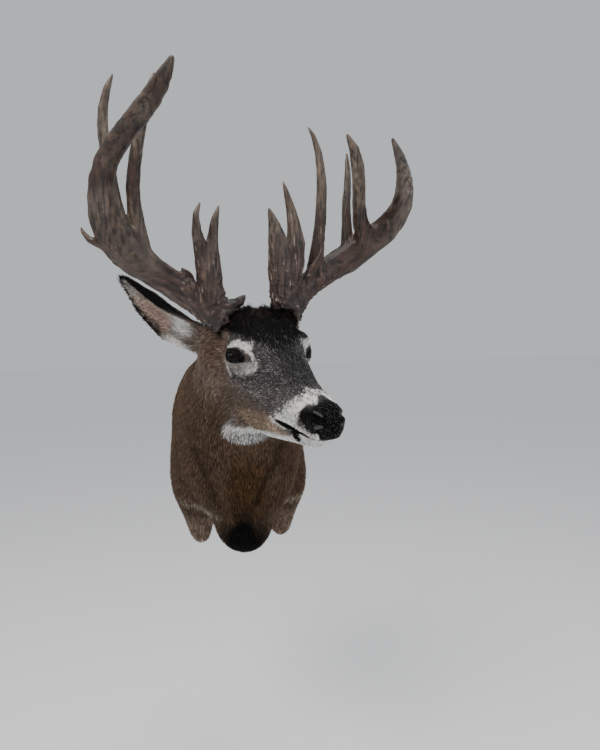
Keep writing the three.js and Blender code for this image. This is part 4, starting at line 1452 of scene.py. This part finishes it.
def in_range(tree, source, given, wanted):
    """A value between the two given ones brought between the two wanted ones."""
    node = add_node(tree, "MapRange", Value=source, From_Min=given[0], From_Max=given[1],
                    To_Min=wanted[0], To_Max=wanted[1])
    return node.outputs["Result"]


def scaled_colour(tree, colour, factor):
    node = add_node(tree, "VectorMath")
    node.operation = "SCALE"
    tree.links.new(colour, node.inputs[0])
    tree.links.new(factor, node.inputs["Scale"])
    return node.outputs[0]


def mixed_colour(tree, factor, a, b):
    node = add_node(tree, "Mix")
    node.data_type = "RGBA"
    tree.links.new(factor, node.inputs["Factor"])
    for source, socket in zip((a, b), (s for s in node.inputs if s.type == "RGBA")):
        tree.links.new(source, socket)
    return next(s for s in node.outputs if s.type == "RGBA")


def mixed_value(tree, factor, a, b):
    return add_node(tree, "Mix", Factor=factor, A=a, B=b).outputs["Result"]


def bump(tree, height, strength, distance):
    node = add_node(tree, "Bump", Height=height, Strength=strength, Distance=distance)
    return node.outputs["Normal"]


def coat_material():
    material, tree, shader = new_material("coat_hair", Roughness=0.7, Specular_IOR_Level=0.06)
    coat = attribute_node(tree, "Coat").outputs["Color"]
    fine = noise_texture(tree, position(tree), scale=900.0, detail=2.0)
    factor = in_range(tree, fine, NOISE_RANGE, (0.82, 1.2))
    wire(tree, shader, Base_Color=scaled_colour(tree, coat, factor))
    return material


def skin_material():
    """Streaks of hair on the hide, and pebbled shiny skin where it is bare."""
    material, tree, shader = new_material("hide")
    coat = attribute_node(tree, "Coat").outputs["Color"]
    bare = attribute_node(tree, "Bare").outputs["Fac"]
    comb = attribute_node(tree, "Comb").outputs["Vector"]
    hair = noise_texture(tree, comb, scale=1.0, detail=3.0, rough=0.65)
    streaked = scaled_colour(tree, coat, in_range(tree, hair, NOISE_RANGE, (0.5, 1.25)))
    pebble = add_node(tree, "TexVoronoi", Vector=position(tree), Scale=430.0).outputs["Distance"]
    height = mixed_value(tree, bare, hair, in_range(tree, pebble, (0, 0.6), (2, 0)))
    shine = mixed_value(tree, bare, 0.08, in_range(tree, pebble, (0, 0.45), (0.85, 0.02)))
    wire(tree, shader, Base_Color=mixed_colour(tree, bare, streaked, coat),
         Roughness=in_range(tree, bare, (0, 1), (0.8, 0.3)), Specular_IOR_Level=shine,
         Normal=bump(tree, height, strength=0.9, distance=0.0006))
    return material


def antler_material():
    material, tree, shader = new_material("antler", Specular_IOR_Level=0.42)
    tone = attribute_node(tree, "Tone")
    where = position(tree)
    stain = noise_texture(tree, where, scale=55.0, detail=5.0)
    grain = noise_texture(tree, where, scale=520.0, detail=3.0)
    factor = in_range(tree, stain, NOISE_RANGE, (0.72, 1.3))
    wire(tree, shader, Base_Color=scaled_colour(tree, tone.outputs["Color"], factor),
         Roughness=in_range(tree, tone.outputs["Alpha"], (0, 1), (0.5, 0.33)),
         Normal=bump(tree, grain, strength=0.4, distance=0.0006))
    return material


def eye_material():
    material, tree, shader = new_material(
        "eye_glass", Roughness=0.12, Specular_IOR_Level=0.03, Coat_Weight=0.14, Coat_Roughness=0.02)
    wire(tree, shader, Base_Color=attribute_node(tree, "Iris").outputs["Color"])
    return material


def board_material():
    material, tree, shader = new_material("plywood", Roughness=0.62, Specular_IOR_Level=0.3)
    mapping = add_node(tree, "Mapping", Vector=position(tree), Scale=(3.0, 90.0, 40.0))
    grain = noise_texture(tree, mapping.outputs["Vector"], scale=1.6, detail=6.0)
    wood = add_node(tree, "ValToRGB", Fac=grain)
    dark, light = wood.color_ramp.elements
    dark.position, dark.color = 0.32, (*linear(0.56, 0.41, 0.25), 1)
    light.position, light.color = 0.68, (*linear(0.80, 0.66, 0.47), 1)
    wire(tree, shader, Base_Color=wood.outputs["Color"],
         Normal=bump(tree, grain, strength=0.3, distance=0.001))
    return material


# ------------------------------------------------------------------ eyes

IRIS_RADIUS = 0.72  # shares of the ball's radius, as are those below
PUPIL = (0.46, 0.17)  # half width, half height
# places and size of the painted reflections of the lamps on the glass
GLINTS = ((-0.24, 0.16), (0.02, 0.22))
GLINT_SIZE = (0.055, 0.05)
CORNEA = 0.035  # rise of the ball's front
EYE_PLAY = 0.15
# edge: the iris's own dark rim, partly painted shade of the lids; glint: colour of the painted lamp
# reflections
GLASS = {"iris": linear(0.07, 0.05, 0.04), "pupil": linear(0.015, 0.015, 0.02),
         "edge": linear(0.01, 0.008, 0.008), "painted_glint": linear(0.55, 0.56, 0.60)}


def build_eye(side_name, material):
    """Glass eye: a ball with a slightly domed front, a brown iris, a level pupil, a dark rim
    deepened by painted shade of the lids, and painted reflections of the lamps.
    """
    side = SIDES[side_name]
    bm = bmesh.new()
    bmesh.ops.create_uvsphere(bm, u_segments=72, v_segments=48, radius=1.0)
    ball = bmesh_object("glass_eye_" + side_name, bm)
    x, y, front = points_of(ball).T
    gaze, (nosewards, up) = eye_axes(side)
    radius = (EYE_RADIUS - EYE_PLAY) * (1 + CORNEA * ramp(front, 0.55, 1.0))
    way = front[:, None] * gaze + x[:, None] * nosewards + y[:, None] * up
    set_points(ball, to_room(EYE * (1, side, 1) + way * radius[:, None]))
    if side > 0:
        ball.data.flip_normals()
    pupil = fall(np.hypot(x / PUPIL[0], y / PUPIL[1]), 0.85, 1.15)
    colour = mix(GLASS["iris"], GLASS["pupil"], pupil)
    # dark rim: the iris's own dark edge, deepened as painted shade of the lids
    colour = mix(colour, GLASS["edge"], ramp(np.hypot(x, y) / IRIS_RADIUS, 0.86, 1.0))
    # painted reflections of the lamps on the front of the ball
    for across, high in GLINTS:
        painted_glint = np.hypot((x - across) / GLINT_SIZE[0], (y - high) / GLINT_SIZE[1])
        colour = mix(colour, GLASS["painted_glint"], 0.55 * fall(painted_glint, 0.4, 1.3) * (front > 0))
    set_colours(ball, "Iris", colour)
    shade_smooth(ball.data)
    ball.data.materials.append(material)
    return ball


# ------------------------------------------------------------------ the mount put together

COMB_ACROSS, COMB_ALONG = 900, 130  # scales of the hair's noise


def dress_skin(skin, material):
    room = points_of(skin)
    head = to_head(room)
    colour, _ = coat_paint(room, head, 0.5)
    clump = 1 + 0.12 * clumps(room / MM)
    set_colours(skin, "Coat", np.clip(colour * clump[:, None] * 0.8, 0.003, 0.9))
    set_colours(skin, "Bare", np.repeat(bare_mask(head)[:, None], 3, 1))
    way = unit(mix(np.array((0.0, 0.35, -0.94)), -AXES[0], ramp(head[:, 0], -110, -55)))
    along = way * (room * way).sum(1)[:, None]
    comb = (room - along) * COMB_ACROSS + along * COMB_ALONG
    layer = skin.data.attributes.new("Comb", "FLOAT_VECTOR", "POINT")
    layer.data.foreach_set("vector", comb.astype(np.float32).ravel())
    skin.data.materials.clear()
    skin.data.materials.append(material)


hide, hair = skin_material(), coat_material()
skin = build_skin(build_skin_grid())
unite(skin, [build_ear(name) for name in EARS])
dress_skin(skin, hide)
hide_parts(*FLESH)
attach(skin, "root")
for piece in grow_coat(skin, hair):
    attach(piece, "root")

horn, glass = antler_material(), eye_material()
for side_name in EARS:
    antler = build_antler(side_name)
    antler.data.materials.append(horn)
    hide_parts(*antler_nodes(side_name))
    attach(antler, "root")
    eye = build_eye(side_name, glass)
    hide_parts("eye_" + side_name)
    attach(eye, "root")

plywood = board_material()
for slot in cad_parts["backboard"].material_slots:
    slot.material = plywood

# ------------------------------------------------------------------ floor, light and camera

# metres and degrees
FLOOR_Z, FLOOR_HALF = -0.85, 30
CAMERA_PLACE = (-0.22, -1.48, 0.22)
CAMERA_TURNS = (87.0555, 1.0073, -14.9584)  # about x, y and z
FOCAL_LENGTH, SENSOR = 30.0, 36.0  # mm on the film


def add_floor():
    square = np.array(((-1, -1), (1, -1), (1, 1), (-1, 1))) * FLOOR_HALF
    floor = mesh_object("floor", np.column_stack([square, np.full(4, FLOOR_Z)]), np.arange(4)[None])
    material, _, _ = new_material("pale_floor", Base_Color=(0.95, 0.95, 0.945, 1), Roughness=1.0)
    floor.data.materials.append(material)


def add_light(name, place, target, size, power, colour=(1, 1, 1)):
    data = bpy.data.lights.new(name, "AREA")
    data.shape = "DISK"
    data.size, data.energy, data.color = size, power, colour
    light = add_object(name, data)
    light.location = place
    light.rotation_euler = (Vector(place) - Vector(target)).to_track_quat("Z", "Y").to_euler()


def add_camera():
    data = bpy.data.cameras.new("camera")
    data.lens, data.sensor_width, data.sensor_height = FOCAL_LENGTH, SENSOR, SENSOR
    data.sensor_fit = "AUTO"
    camera = add_object("camera", data)
    turns = Euler([math.radians(turn) for turn in CAMERA_TURNS])
    camera.matrix_world = Matrix.LocRotScale(CAMERA_PLACE, turns, None)
    bpy.context.scene.camera = camera


def add_world():
    world = bpy.data.worlds.new("studio")
    world.use_nodes = True
    wire(world.node_tree, world.node_tree.nodes["Background"],
         Color=(0.86, 0.88, 0.92, 1), Strength=0.66)
    bpy.context.scene.world = world


add_floor()
add_world()
add_light("key", (-1.3, -1.7, 2.0), (0, -0.35, 0.15), size=1.2, power=52, colour=(1.0, 0.97, 0.93))
add_light("fill", (1.8, -1.6, 0.9), (0, -0.3, 0.1), size=1.6, power=14, colour=(0.93, 0.96, 1.0))
add_light("top", (0.2, -0.5, 2.4), (0, -0.35, 0.2), size=1.2, power=20)
add_camera()
